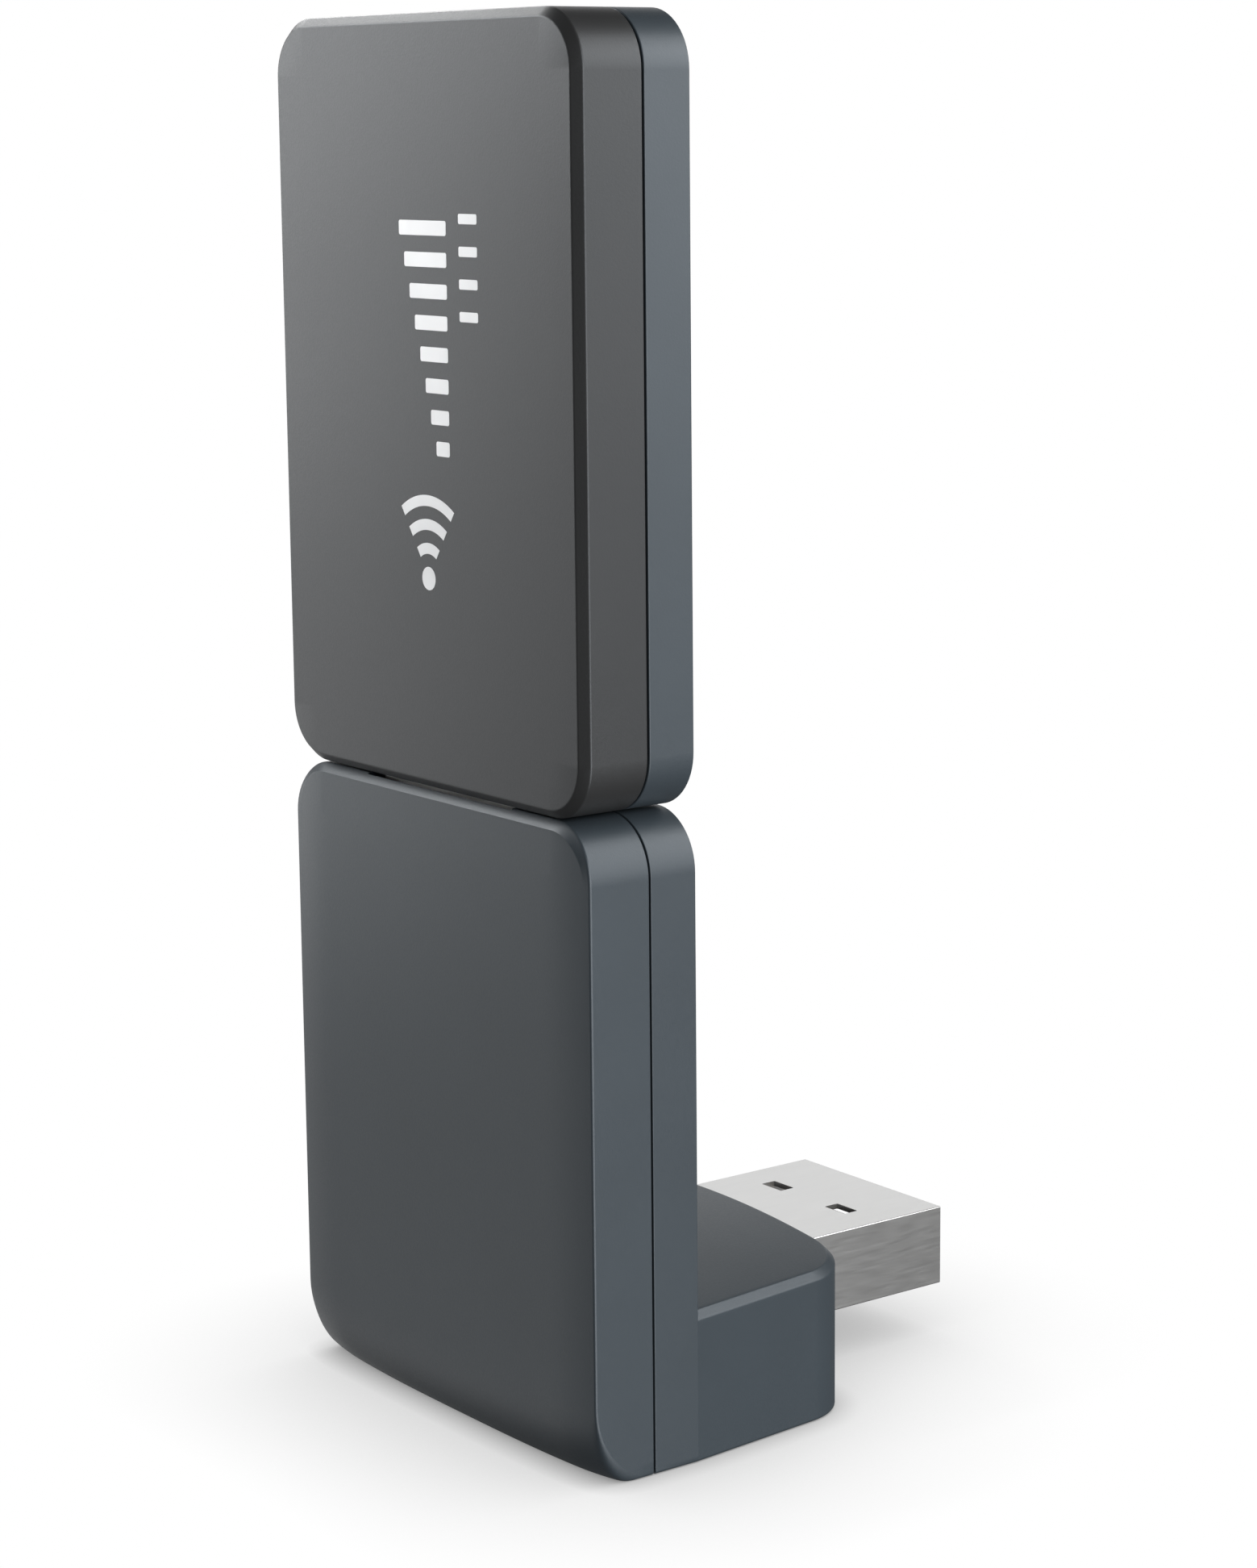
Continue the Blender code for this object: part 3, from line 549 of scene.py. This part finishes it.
def crown_depth(x, z):
    """Depth of the adapter's front face: soft shoulders at its sides and top, and the rolled toe."""
    beside = max(0.0, abs(x) - (HALF_WIDTH - SHOULDER_WIDTH)) / SHOULDER_WIDTH
    above = max(0.0, z - (ADAPTER_TOP - SHOULDER_WIDTH)) / SHOULDER_WIDTH
    shoulder = SHOULDER_DROP * beside**2 + TOP_DROP * above**2
    below = max(0.0, TOE_HEIGHT - z)
    roll = TOE_RADIUS - math.sqrt(TOE_RADIUS**2 - below**2)
    aside = abs(x) / HALF_WIDTH
    share = TOE_SHARE_MIDDLE + TOE_SHARE_SIDE * aside**3 + TOE_SHARE_CORNER * aside**TOE_CORNER_POWER
    return shoulder + roll * share


def edge_drop(station, inset):
    """The last of the face's fall to its rim: a small round at the sides and a bevel at the top."""
    bevel = max(0.0, EDGE_CHAMFER - inset)
    reach = max(0.0, SHOULDER_ROUND - inset)
    rounded = SHOULDER_ROUND - math.sqrt(SHOULDER_ROUND**2 - reach**2)
    edge = station[0]
    sideways = max(0.0, abs(edge.x) - (HALF_WIDTH - CORNER_RADIUS)) / CORNER_RADIUS
    upwards = max(0.0, edge.y - (ADAPTER_TOP - CORNER_RADIUS)) / CORNER_RADIUS
    return sideways**2 * rounded + upwards**2 * bevel


def crowned(station, inset, offset=0.0):
    spot = spot_at(station, inset)
    return (inset, offset + crown_depth(spot.x, spot.y))


def crowned_profile(station):
    """The whole section of the adapter's front cover at one station."""
    face = []
    for inset in FACE_INSETS:
        depth = crowned(station, inset)[1] + edge_drop(station, inset)
        face.append((inset, depth))
    rim = [face[-2], face[-1], (0.0, SEAM_FRONT), (REBATE, SEAM_FRONT)]
    inside = seam_profile_front()[2:]
    inner = [crowned(station, WALL, FACE_WALL)]
    inner += [crowned(station, inset * MM, FACE_WALL) for inset in (1.8, 2.6, 3.8, 5.0)]
    return face[:-2] + soften(rim, RIM_EDGE) + inside + inner


def socket_bay():
    """A cutter for the room round the socket, open at the top."""
    low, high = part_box("socket_shell")
    gap = Vector((SOCKET_CLEARANCE, SOCKET_CLEARANCE, 0.0))
    low = low - gap
    high = high + gap
    return block("bay", (low.x, low.y, low.z - BAY_DEPTH), (high.x, high.y, ADAPTER_TOP + OVERCUT))


def build_adapter_front():
    stations = adapter_stations()
    cover = sweep("adapter_front_shell", stations, [crowned_profile(station) for station in stations])
    cut(cover, socket_bay())
    finish_piece(cover, "adapter", "slate_plastic", "adapter_front_cover")


def foot_plan(inset):
    """The right-hand edge of the foot in plan as (x, depth): flush with the upright, then a
    tapered side and a round corner."""
    slope = math.atan(FOOT_TAPER)
    radius = FOOT_CORNER_RADIUS - inset
    centre_depth = FOOT_DEPTH - FOOT_CORNER_RADIUS
    outer_half = HALF_WIDTH - FLUSH_GAP
    side_at_centre = outer_half - FOOT_TAPER * (centre_depth - THICKNESS)
    centre_x = side_at_centre - FOOT_CORNER_RADIUS / math.cos(slope)
    arc = []
    for step in range(FOOT_CORNER_STEPS + 1):
        angle = slope + (math.pi / 2 - slope) * step / FOOT_CORNER_STEPS
        arc.append((centre_x + radius * math.cos(angle), centre_depth + radius * math.sin(angle)))
    tangent_x, tangent_depth = arc[0]
    join_x = tangent_x + FOOT_TAPER * (tangent_depth - THICKNESS)
    start = THICKNESS - FACE_WALL / 2
    return [(join_x, start), (join_x, THICKNESS)] + arc


def foot_crown(x):
    return FOOT_CROWN_HEIGHT - FOOT_CROWN_FALL * (x / FOOT_CROWN_HALF) ** 2


def foot_body(name, columns, rings, lower):
    """The foot: an arched grid on top, then rings of (inset, drop below the arch) down its side,
    and last rings of (inset, height) round its base."""
    plans = [foot_plan(inset) for inset, drop in rings]
    last = len(plans[0]) - 1
    fractions = [2 * column / columns - 1 for column in range(columns + 1)]
    bm = bmesh.new()
    top = []
    for half, depth in plans[0]:
        top.append([bm.verts.new((f * half, FRONT + depth, foot_crown(f * half))) for f in fractions])
    for row in range(last):
        for column in range(columns):
            bm.faces.new((top[row][column], top[row][column + 1],
                          top[row + 1][column + 1], top[row + 1][column]))
    border = [(0, column) for column in range(columns + 1)]
    border += [(row, columns) for row in range(1, last + 1)]
    border += [(last, column) for column in reversed(range(columns))]
    border += [(row, 0) for row in reversed(range(1, last))]
    loops = [[top[row][column] for row, column in border]]
    crown_plan = foot_plan(FOOT_CHAMFER)
    for (inset, drop), plan in zip(rings[1:], plans[1:]):
        loop = []
        for row, column in border:
            half, depth = plan[row]
            arch = foot_crown(fractions[column] * crown_plan[row][0])
            loop.append(bm.verts.new((fractions[column] * half, FRONT + depth, arch - drop)))
        loops.append(loop)
    for inset, height in lower:
        plan = foot_plan(inset)
        loop = []
        for row, column in border:
            half, depth = plan[row]
            loop.append(bm.verts.new((fractions[column] * half, FRONT + depth, height)))
        loops.append(loop)
    for upper, under in zip(loops, loops[1:]):
        for index in range(len(border)):
            after = (index + 1) % len(border)
            bm.faces.new((upper[index], upper[after], under[after], under[index]))
    bm.faces.new(loops[-1])
    return mesh_object(name, bm)


def outer_foot():
    """The foot's outside: a chamfer round its top and a small round at its base."""
    end = FOOT_CHAMFER + FOOT_EDGE_MARGIN
    corners = [(end, 0.0), (FOOT_CHAMFER, 0.0), (0.0, FOOT_CHAMFER), (0.0, end)]
    rings = [tuple(point) for point in soften(corners, SOFT_EDGE)]
    angles = [math.radians(90 * step / BASE_EDGE_STEPS) for step in range(BASE_EDGE_STEPS + 1)]
    turn = [(BASE_EDGE * (1 - math.cos(angle)), BASE_EDGE * (1 - math.sin(angle))) for angle in angles]
    return foot_body("foot", FOOT_COLUMNS, rings, turn)


def hollow_foot():
    """The room inside the foot, one wall in from its outside."""
    width = HALF_WIDTH - FOOT_WALL
    depth_end = FOOT_DEPTH - FOOT_WALL
    side = foot_plan(FOOT_WALL)
    outline = [(min(width, side[0][0]), THICKNESS - FACE_WALL - HOLLOW_OVERLAP)] + side[2:]
    ring = outline + [(-x, depth) for x, depth in reversed(outline)]
    bm = bmesh.new()
    low = [bm.verts.new((x, FRONT + depth, FOOT_WALL)) for x, depth in ring]
    high = [bm.verts.new((x, FRONT + min(depth, depth_end), foot_crown(x) - FOOT_WALL - FOOT_CHAMFER))
            for x, depth in ring]
    for index in range(len(ring)):
        after = (index + 1) % len(ring)
        bm.faces.new((low[index], low[after], high[after], high[index]))
    bm.faces.new(low)
    bm.faces.new(reversed(high))
    bmesh.ops.triangulate(bm, faces=[face for face in bm.faces if len(face.verts) > 4])
    return mesh_object("hollow", bm)


def heel_slot():
    """A cutter for the opening in the foot's rear wall that the plug comes through."""
    low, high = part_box("adapter_plug_shell")
    gap = PLUG_CLEARANCE
    return block("slot", (low.x - gap, FOOT_BOX[1].y - FOOT_WALL - OVERCUT, low.z - gap),
                 (high.x + gap, FOOT_BOX[1].y + OVERCUT, high.z + gap))


def build_adapter_rear():
    """The upright back and the foot in one moulding."""
    stations = adapter_stations()
    back = soften([(REAR_RIM, THICKNESS), (0.0, THICKNESS), (0.0, SEAM_REAR),
                   (REBATE + LIP_CLEARANCE, SEAM_REAR)], SEAM_EDGE)
    inner_depth = THICKNESS - FACE_WALL
    profile = [(DEEPEST_OFFSET, THICKNESS)] + back + seam_profile_rear()[2:]
    profile += [(WALL, inner_depth), (DEEPEST_OFFSET, inner_depth)]
    cover = sweep("adapter_rear_shell", stations, [profile] * len(stations))
    weld(cover, outer_foot())
    cut(cover, hollow_foot())
    cut(cover, heel_slot())
    cut(cover, socket_bay())
    finish_piece(cover, "adapter", "slate_plastic", "adapter_rear_cover")


# ---------------------------------------------------------------------------------------------
# Plugs and socket. Each is made in its own frame: +Y along the contacts, +Z across the sheet's
# narrow side, with the origin at the plug's tip or in the socket's mouth.

DOWNWARDS = Matrix.Rotation(math.radians(-90), 4, "X")


def heel_plug_place():
    low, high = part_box("adapter_plug_shell")
    return Matrix.Translation((0.0, high.y, (low.z + high.z) / 2))


def dongle_plug_place():
    low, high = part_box("dongle_plug_shell")
    return Matrix.Translation((0.0, (low.y + high.y) / 2, low.z)) @ DOWNWARDS


def socket_place():
    low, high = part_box("socket_shell")
    return Matrix.Translation((0.0, (low.y + high.y) / 2, high.z)) @ DOWNWARDS


def box_in(node, place):
    """A CAD node's box in a plug's or the socket's own frame."""
    first, second = [place.inverted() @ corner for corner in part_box(node)]
    return Vector(map(min, first, second)), Vector(map(max, first, second))


def sheet_ring(half_width, half_height, corner, y):
    """A rectangle with round corners, square to Y."""
    points = []
    for x_sign, z_sign, start in ((1, -1, 270), (1, 1, 0), (-1, 1, 90), (-1, -1, 180)):
        for step in range(SHEET_CORNER_STEPS + 1):
            angle = math.radians(start + 90 * step / SHEET_CORNER_STEPS)
            points.append(Vector((x_sign * (half_width - corner) + corner * math.cos(angle), y,
                                  z_sign * (half_height - corner) + corner * math.sin(angle))))
    return points


def sheet_tube(name, high, mouth, back, lead_in):
    """Folded sheet along Y; its outer size is given and its mouth has rounded edges."""
    towards_back = 1.0 if back > mouth else -1.0
    section = [(0.0, back), (0.0, mouth), (SHEET - lead_in, mouth),
               (SHEET, mouth + towards_back * lead_in * 1.6), (SHEET, back)]
    rings = []
    for inset, y in soften(section, SHEET_EDGE):
        corner = SHEET_OUTER_CORNER + (SHEET_INNER_CORNER - SHEET_OUTER_CORNER) * inset / SHEET
        rings.append(sheet_ring(high.x - inset, high.z - inset, corner, y))
    return loft(name, rings, closed=True)


def groove_between(name, first, second, width, low_z, high_z):
    """A thin upright cutter along a line between two (x, y) points."""
    start = Vector((*first, 0.0))
    end = Vector((*second, 0.0))
    along = (end - start).normalized() * width / 2
    across = Vector((-along.y, along.x, 0.0))
    outline = [start - along - across, end + along - across, end + along + across, start - along + across]
    rings = [[Vector((point.x, point.y, z)) for point in outline] for z in (low_z, high_z)]
    return loft(name, rings)


def build_plug_sheet(name, node, place, body):
    """The plug's shell: four latch holes, and the dovetailed joint where the sheet meets itself."""
    low, high = box_in(node, place)
    shell = sheet_tube(name, high, high.y, low.y, PLUG_LEAD_IN)
    for x in (-LATCH_HOLE_OFFSET, LATCH_HOLE_OFFSET):
        middle = -LATCH_HOLE_SETBACK
        hole = block("hole", (x - LATCH_HOLE_WIDTH / 2, middle - LATCH_HOLE_LENGTH / 2, -2 * high.z),
                     (x + LATCH_HOLE_WIDTH / 2, middle + LATCH_HOLE_LENGTH / 2, 2 * high.z), HOLE_CORNER)
        cut(shell, hole)
    joint = [(0.0, OVERCUT), (0.0, -DOVETAIL_START - DOVETAIL_FLARE),
             (DOVETAIL_REACH, -DOVETAIL_START), (DOVETAIL_REACH, -DOVETAIL_END),
             (0.0, DOVETAIL_FLARE - DOVETAIL_END), (0.0, low.y - OVERCUT)]
    for first, second in zip(joint, joint[1:]):
        cut(shell, groove_between("joint", first, second, JOINT_WIDTH, low.z - SHEET, low.z + 1.5 * SHEET))
    shell.matrix_world = place
    finish_piece(shell, body, "nickel_plate", node)


def strip(name, path, half_width, thickness):
    """A flat metal strip along a path of (y, z) points, with eased edges."""
    ease = STRIP_EASE * thickness
    half = thickness / 2
    section = [(-half_width + ease, -half), (half_width - ease, -half), (half_width, ease - half),
               (half_width, half - ease), (half_width - ease, half), (ease - half_width, half),
               (-half_width, half - ease), (-half_width, ease - half)]
    rings = []
    for index, (y, z) in enumerate(path):
        before = Vector(path[max(0, index - 1)])
        after = Vector(path[min(len(path) - 1, index + 1)])
        along = (after - before).normalized()
        rings.append([Vector((x, y - up * along.y, z + up * along.x)) for x, up in section])
    return loft(name, rings)


def humped_path(start, end, level, crest, height, span):
    """A straight path along Y with one smooth hump of the given height towards -Z."""
    path = []
    for step in range(HUMP_STEPS + 1):
        y = start + (end - start) * step / HUMP_STEPS
        reach = max(-1.0, min(1.0, (y - crest) / span))
        path.append((y, level - height * (0.5 + 0.5 * math.cos(math.pi * reach))))
    return path


def build_contact(name, node, place, body, crest=None):
    """One gold strip that fills its CAD box; a socket's strip also bows towards the plug."""
    low, high = box_in(node, place)
    middle = (low.x + high.x) / 2
    thickness = high.z - low.z
    level = (low.z + high.z) / 2
    if crest is None:
        nose = high.y - thickness
        path = [(low.y, level), (nose - 2 * thickness, level), (nose, level - 0.1 * thickness),
                (high.y, level - 0.3 * thickness)]
    else:
        path = humped_path(low.y, high.y, level, crest, CONTACT_BOW, CONTACT_BOW_SPAN)
    piece = strip(name, path, (high.x - low.x) / 2, thickness)
    piece.data.transform(Matrix.Translation((middle, 0.0, 0.0)))
    piece.matrix_world = place
    finish_piece(piece, body, "gold_plate", node)


def build_plug_core(name, prefix, place, body):
    """The black moulding in the plug, with a groove under each contact."""
    low, high = box_in(f"{prefix}_insulator", place)
    core = block(name, low, high, CORE_EDGE)
    for number in range(1, CONTACT_COUNT + 1):
        near, far = box_in(f"{prefix}_contact_{number}", place)
        cut(core, block("groove", (near.x - GROOVE_GAP, low.y - OVERCUT, near.z - GROOVE_GAP),
                        (far.x + GROOVE_GAP, far.y + GROOVE_GAP, high.z + OVERCUT)))
    core.matrix_world = place
    finish_piece(core, body, "black_insulator", f"{prefix}_insulator")
    for number in range(1, CONTACT_COUNT + 1):
        build_contact(f"{prefix}_strip_{number}", f"{prefix}_contact_{number}", place, body)


def build_socket_sheet():
    """The socket's shell, with two sprung leaves in each wide side."""
    place = socket_place()
    low, high = box_in("socket_shell", place)
    shell = sheet_tube("socket_sheet", high, low.y, high.y, SOCKET_LEAD_IN)
    level = high.z - SHEET / 2
    for x in (-LEAF_OFFSET, LEAF_OFFSET):
        for side in (-1, 1):
            window = block("window", (x - LEAF_WIDTH / 2 - LEAF_GAP, LEAF_START, side * level - SHEET),
                           (x + LEAF_WIDTH / 2 + LEAF_GAP, LEAF_END, side * level + SHEET), HOLE_CORNER)
            cut(shell, window)
            path = humped_path(LEAF_START + 2 * LEAF_GAP, LEAF_END + LEAF_ROOT, level, LEAF_CREST,
                               LEAF_BOW, LEAF_BOW_SPAN)
            leaf = strip("leaf", path, LEAF_WIDTH / 2, LEAF_THICKNESS)
            if side < 0:
                leaf.data.transform(Matrix.Scale(-1, 4, (0.0, 0.0, 1.0)))
                leaf.data.flip_normals()
            leaf.data.transform(Matrix.Translation((x, 0.0, 0.0)))
            weld(shell, leaf)
    shell.matrix_world = place
    finish_piece(shell, "adapter", "nickel_plate", "socket_shell")


def build_socket_core():
    """The base at the socket's bottom and the tongue that stands in its mouth."""
    place = socket_place()
    low, high = box_in("socket_insulator", place)
    near, far = box_in("socket_contact_1", place)
    core = block("socket_core", (low.x, TONGUE_ROOT, low.z), high, CORE_EDGE)
    tongue_face = near.z - CONTACT_SINK
    tongue_end = (TONGUE_HALF_WIDTH, TONGUE_ROOT + OVERCUT / 2, tongue_face + TONGUE_THICKNESS)
    tongue = block("tongue", (-TONGUE_HALF_WIDTH, low.y, tongue_face), tongue_end, TONGUE_EDGE)
    weld(core, tongue)
    for number in range(1, CONTACT_COUNT + 1):
        near, far = box_in(f"socket_contact_{number}", place)
        cut(core, block("groove", (near.x - GROOVE_GAP, near.y - 4 * GROOVE_GAP, near.z - OVERCUT / 2),
                        (far.x + GROOVE_GAP, high.y + OVERCUT, far.z + GROOVE_GAP)))
    core.matrix_world = place
    finish_piece(core, "adapter", "black_insulator", "socket_insulator")
    for number in range(1, CONTACT_COUNT + 1):
        node = f"socket_contact_{number}"
        build_contact(f"socket_strip_{number}", node, place, "adapter", CONTACT_CREST)


def build_connectors():
    build_plug_sheet("adapter_plug_sheet", "adapter_plug_shell", heel_plug_place(), "adapter")
    build_plug_core("adapter_plug_core", "adapter_plug", heel_plug_place(), "adapter")
    build_plug_sheet("dongle_plug_sheet", "dongle_plug_shell", dongle_plug_place(), "dongle")
    build_plug_core("dongle_plug_core", "dongle_plug", dongle_plug_place(), "dongle")
    build_socket_sheet()
    build_socket_core()


# ---------------------------------------------------------------------------------------------
# Printed mark: a plain radio fan, a row of rising bars and four short strokes


def add_print(bm, outline):
    """One printed shape, a hair proud of the dongle's face; the outline is (x, z) points."""
    loops = []
    for y in (FRONT + PRINT_DEPTH / 4, FRONT - PRINT_DEPTH):
        loops.append([bm.verts.new((x, y, z)) for x, z in outline])
    for index in range(len(outline)):
        after = (index + 1) % len(outline)
        bm.faces.new((loops[0][index], loops[0][after], loops[1][after], loops[1][index]))
    bm.faces.new(loops[0])
    bm.faces.new(reversed(loops[1]))


def round_bar(left, right, low, high, corner):
    """The outline of a bar with round corners."""
    points = []
    for x, z, start in ((right, low, 270), (right, high, 0), (left, high, 90), (left, low, 180)):
        centre_x = x - corner if x == right else x + corner
        centre_z = z + corner if z == low else z - corner
        for step in range(PRINT_CORNER_STEPS + 1):
            angle = math.radians(start + 90 * step / PRINT_CORNER_STEPS)
            points.append((centre_x + corner * math.cos(angle), centre_z + corner * math.sin(angle)))
    return points


def wave(centre_x, centre_z, radius, stroke, half_angle):
    """A band of an arc that opens upwards."""
    turns = [math.radians(90 - half_angle + 2 * half_angle * step / WAVE_STEPS)
             for step in range(WAVE_STEPS + 1)]
    outer = [(radius + stroke / 2, turn) for turn in turns]
    inner = [(radius - stroke / 2, turn) for turn in reversed(turns)]
    return [(centre_x + reach * math.cos(turn), centre_z + reach * math.sin(turn))
            for reach, turn in outer + inner]


def build_mark():
    bm = bmesh.new()
    centre = (MARK_LEFT + MARK_RIGHT) / 2
    base = MARK_BASE + FAN_DOT
    turns = [2 * math.pi * step / DOT_STEPS for step in range(DOT_STEPS)]
    dot = [(centre + FAN_DOT * math.cos(turn), base + FAN_DOT * math.sin(turn)) for turn in turns]
    add_print(bm, dot)
    for turn in range(1, WAVE_COUNT + 1):
        radius = FAN_DOT + turn * FAN_PITCH - FAN_STROKE / 2
        add_print(bm, wave(centre, base, radius, FAN_STROKE, FAN_HALF_ANGLE))
    width = MARK_RIGHT - MARK_LEFT
    for number in range(BAR_COUNT):
        length = width * (SHORTEST_BAR + (1 - SHORTEST_BAR) * number / (BAR_COUNT - 1))
        low = BARS_BASE + number * BAR_PITCH
        add_print(bm, round_bar(MARK_RIGHT - length, MARK_RIGHT, low, low + BAR_HEIGHT, BAR_CORNER))
    for number in range(STROKE_COUNT):
        low = STROKES_BASE + number * STROKE_PITCH
        add_print(bm, round_bar(STROKES_LEFT, STROKES_RIGHT, low, low + STROKE_HEIGHT, STROKE_CORNER))
    mark = mesh_object("signal_mark", bm)
    finish_piece(mark, "dongle", "silver_print")


# ---------------------------------------------------------------------------------------------
# Camera, floor and light

CAMERA_PLACE = Vector((0.151169, -0.115724, 0.068033))
CAMERA_AZIMUTH = math.radians(53.103)
CAMERA_ELEVATION = math.radians(10.538)
CAMERA_ROLL = math.radians(-0.551)
CAMERA_LENS = 82.12
CAMERA_SENSOR = 36.0

FLOOR_HALF = 3.0
FLOOR_DROP = 0.02 * MM

# How far each painted shade on the floor reaches, and how dark it gets
WIDE_SHADE = (14.0 * MM, 0.60)
CLOSE_SHADE = (1.6 * MM, 0.45)

# Soft boxes round the object's axis: azimuth in degrees, distance, height, height aimed at, size, watts.
# The low ones stand for light that comes up from the pale table.
SOFT_BOXES = {
    "table_right": (0.0, 0.47, -0.13, 0.040, 0.33, 1.64),
    "table_left": (180.0, 0.47, -0.13, 0.040, 0.33, 0.26),
    "table_left_front": (225.0, 0.47, -0.13, 0.040, 0.33, 0.32),
    "right": (0.0, 0.48, 0.17, 0.040, 0.33, 1.96),
    "right_rear": (45.0, 0.48, 0.17, 0.040, 0.33, 1.02),
    "behind": (137.0, 0.48, 0.16, 0.040, 0.33, 0.31),
    "left_top": (205.0, 0.10, 0.127, 0.090, 0.045, 0.055),
    "left_middle": (205.0, 0.10, 0.065, 0.052, 0.045, 0.018),
    "left_low": (205.0, 0.10, 0.030, 0.035, 0.045, 0.010),
    "left_close": (170.0, 0.065, 0.11, 0.075, 0.030, 0.023),
    "front_close": (210.0, 0.065, 0.075, 0.057, 0.030, 0.004),
    "left_front": (225.0, 0.10, 0.10, 0.070, 0.045, 0.036),
    "rear_close": (55.0, 0.12, 0.10, 0.070, 0.055, 0.041),
    "rear_close_top": (55.0, 0.12, 0.15, 0.095, 0.055, 0.060),
}
AXIS = Vector((0.0, -0.008, 0.0))
DOME_STRENGTH = 0.12


def build_camera():
    """Looks at the object from the front right, a little from above, and rolled very slightly."""
    data = bpy.data.cameras.new("camera")
    data.lens = CAMERA_LENS
    data.sensor_width = CAMERA_SENSOR
    data.clip_start = 0.005
    data.clip_end = 20.0
    camera = bpy.data.objects.new("camera", data)
    ahead = Vector((-math.sin(CAMERA_AZIMUTH) * math.cos(CAMERA_ELEVATION),
                    math.cos(CAMERA_AZIMUTH) * math.cos(CAMERA_ELEVATION),
                    -math.sin(CAMERA_ELEVATION)))
    right = Vector((math.cos(CAMERA_AZIMUTH), math.sin(CAMERA_AZIMUTH), 0.0))
    up = right.cross(ahead)
    rolled_right = math.cos(CAMERA_ROLL) * right + math.sin(CAMERA_ROLL) * up
    rolled_up = math.cos(CAMERA_ROLL) * up - math.sin(CAMERA_ROLL) * right
    turn = Matrix((rolled_right, rolled_up, -ahead)).transposed()
    camera.matrix_world = Matrix.Translation(CAMERA_PLACE) @ turn.to_4x4()
    bpy.context.scene.collection.objects.link(camera)
    bpy.context.scene.camera = camera


def painted_shade_near(tree, distance, depth):
    """Painted shade from ambient occlusion: 1 in the open, less where the object closes in within the
    distance.
    """
    covered = add_node(tree, "ShaderNodeAmbientOcclusion", Distance=distance, samples=12)
    dimmer = add_node(tree, "ShaderNodeMapRange")
    dimmer.inputs["To Min"].default_value = 1.0 - depth
    dimmer.inputs["To Max"].default_value = 1.0
    tree.links.new(covered.outputs["AO"], dimmer.inputs["Value"])
    return dimmer.outputs["Result"]


def floor_material():
    """White paper that glows evenly, with a painted shadow that darkens it close to the object."""
    result, tree, shader = new_material("floor_paper")
    tree.nodes.remove(shader)
    glow = add_node(tree, "ShaderNodeEmission")
    both = add_node(tree, "ShaderNodeMath", operation="MULTIPLY")
    # The floor's glow is multiplied by two painted shades, a wide one and a close one, which stand in for
    # its contact shadow.
    tree.links.new(painted_shade_near(tree, *WIDE_SHADE), both.inputs[0])
    tree.links.new(painted_shade_near(tree, *CLOSE_SHADE), both.inputs[1])
    tree.links.new(both.outputs["Value"], glow.inputs["Strength"])
    tree.links.new(glow.outputs["Emission"], tree.nodes["Material Output"].inputs["Surface"])
    result.cycles.emission_sampling = "NONE"
    return result


def build_floor():
    """A wide pale sheet that the object stands on."""
    bm = bmesh.new()
    bmesh.ops.create_grid(bm, x_segments=8, y_segments=8, size=FLOOR_HALF)
    floor = mesh_object("floor", bm)
    floor.location.z = -FLOOR_DROP
    floor.data.materials.append(floor_material())
    floor.visible_glossy = False
    floor.visible_diffuse = False
    floor.visible_shadow = False


def build_lights():
    for name, (azimuth, distance, height, aim, size, power) in SOFT_BOXES.items():
        data = bpy.data.lights.new(name, "AREA")
        data.shape = "SQUARE"
        data.size = size
        data.energy = power
        light = bpy.data.objects.new(name, data)
        turn = math.radians(azimuth)
        light.location = AXIS + Vector((distance * math.cos(turn), distance * math.sin(turn), height))
        target = AXIS + Vector((0.0, 0.0, aim))
        light.rotation_euler = (light.location - target).to_track_quat("Z", "Y").to_euler()
        light.visible_camera = False
        bpy.context.scene.collection.objects.link(light)


def build_world():
    """White to the camera, and a dimmer even dome to everything else."""
    world = bpy.data.worlds.new("studio")
    world.use_nodes = True
    tree = world.node_tree
    output = tree.nodes["World Output"]
    seen = tree.nodes["Background"]
    seen.inputs["Color"].default_value = (1.0, 1.0, 1.0, 1.0)
    dome = add_node(tree, "ShaderNodeBackground", Strength=DOME_STRENGTH)
    rays = add_node(tree, "ShaderNodeLightPath")
    mix = add_node(tree, "ShaderNodeMixShader")
    tree.links.new(rays.outputs["Is Camera Ray"], mix.inputs["Fac"])
    tree.links.new(dome.outputs["Background"], mix.inputs[1])
    tree.links.new(seen.outputs["Background"], mix.inputs[2])
    tree.links.new(mix.outputs["Shader"], output.inputs["Surface"])
    bpy.context.scene.world = world
    bpy.context.scene.view_settings.view_transform = "Standard"


def finish_frame_nodes():
    """Every CAD node that still shows gets the material of its slot."""
    slots = {part["node"]: part["material_slot"] for part in frame["record"]["subparts"]}
    for name, node in frame["nodes"].items():
        node.data.materials.clear()
        node.data.materials.append(FINISHES[slots[name]])


build_camera()
build_dongle_covers()
build_adapter_front()
build_adapter_rear()
build_connectors()
build_mark()
finish_frame_nodes()
build_floor()
build_lights()
build_world()
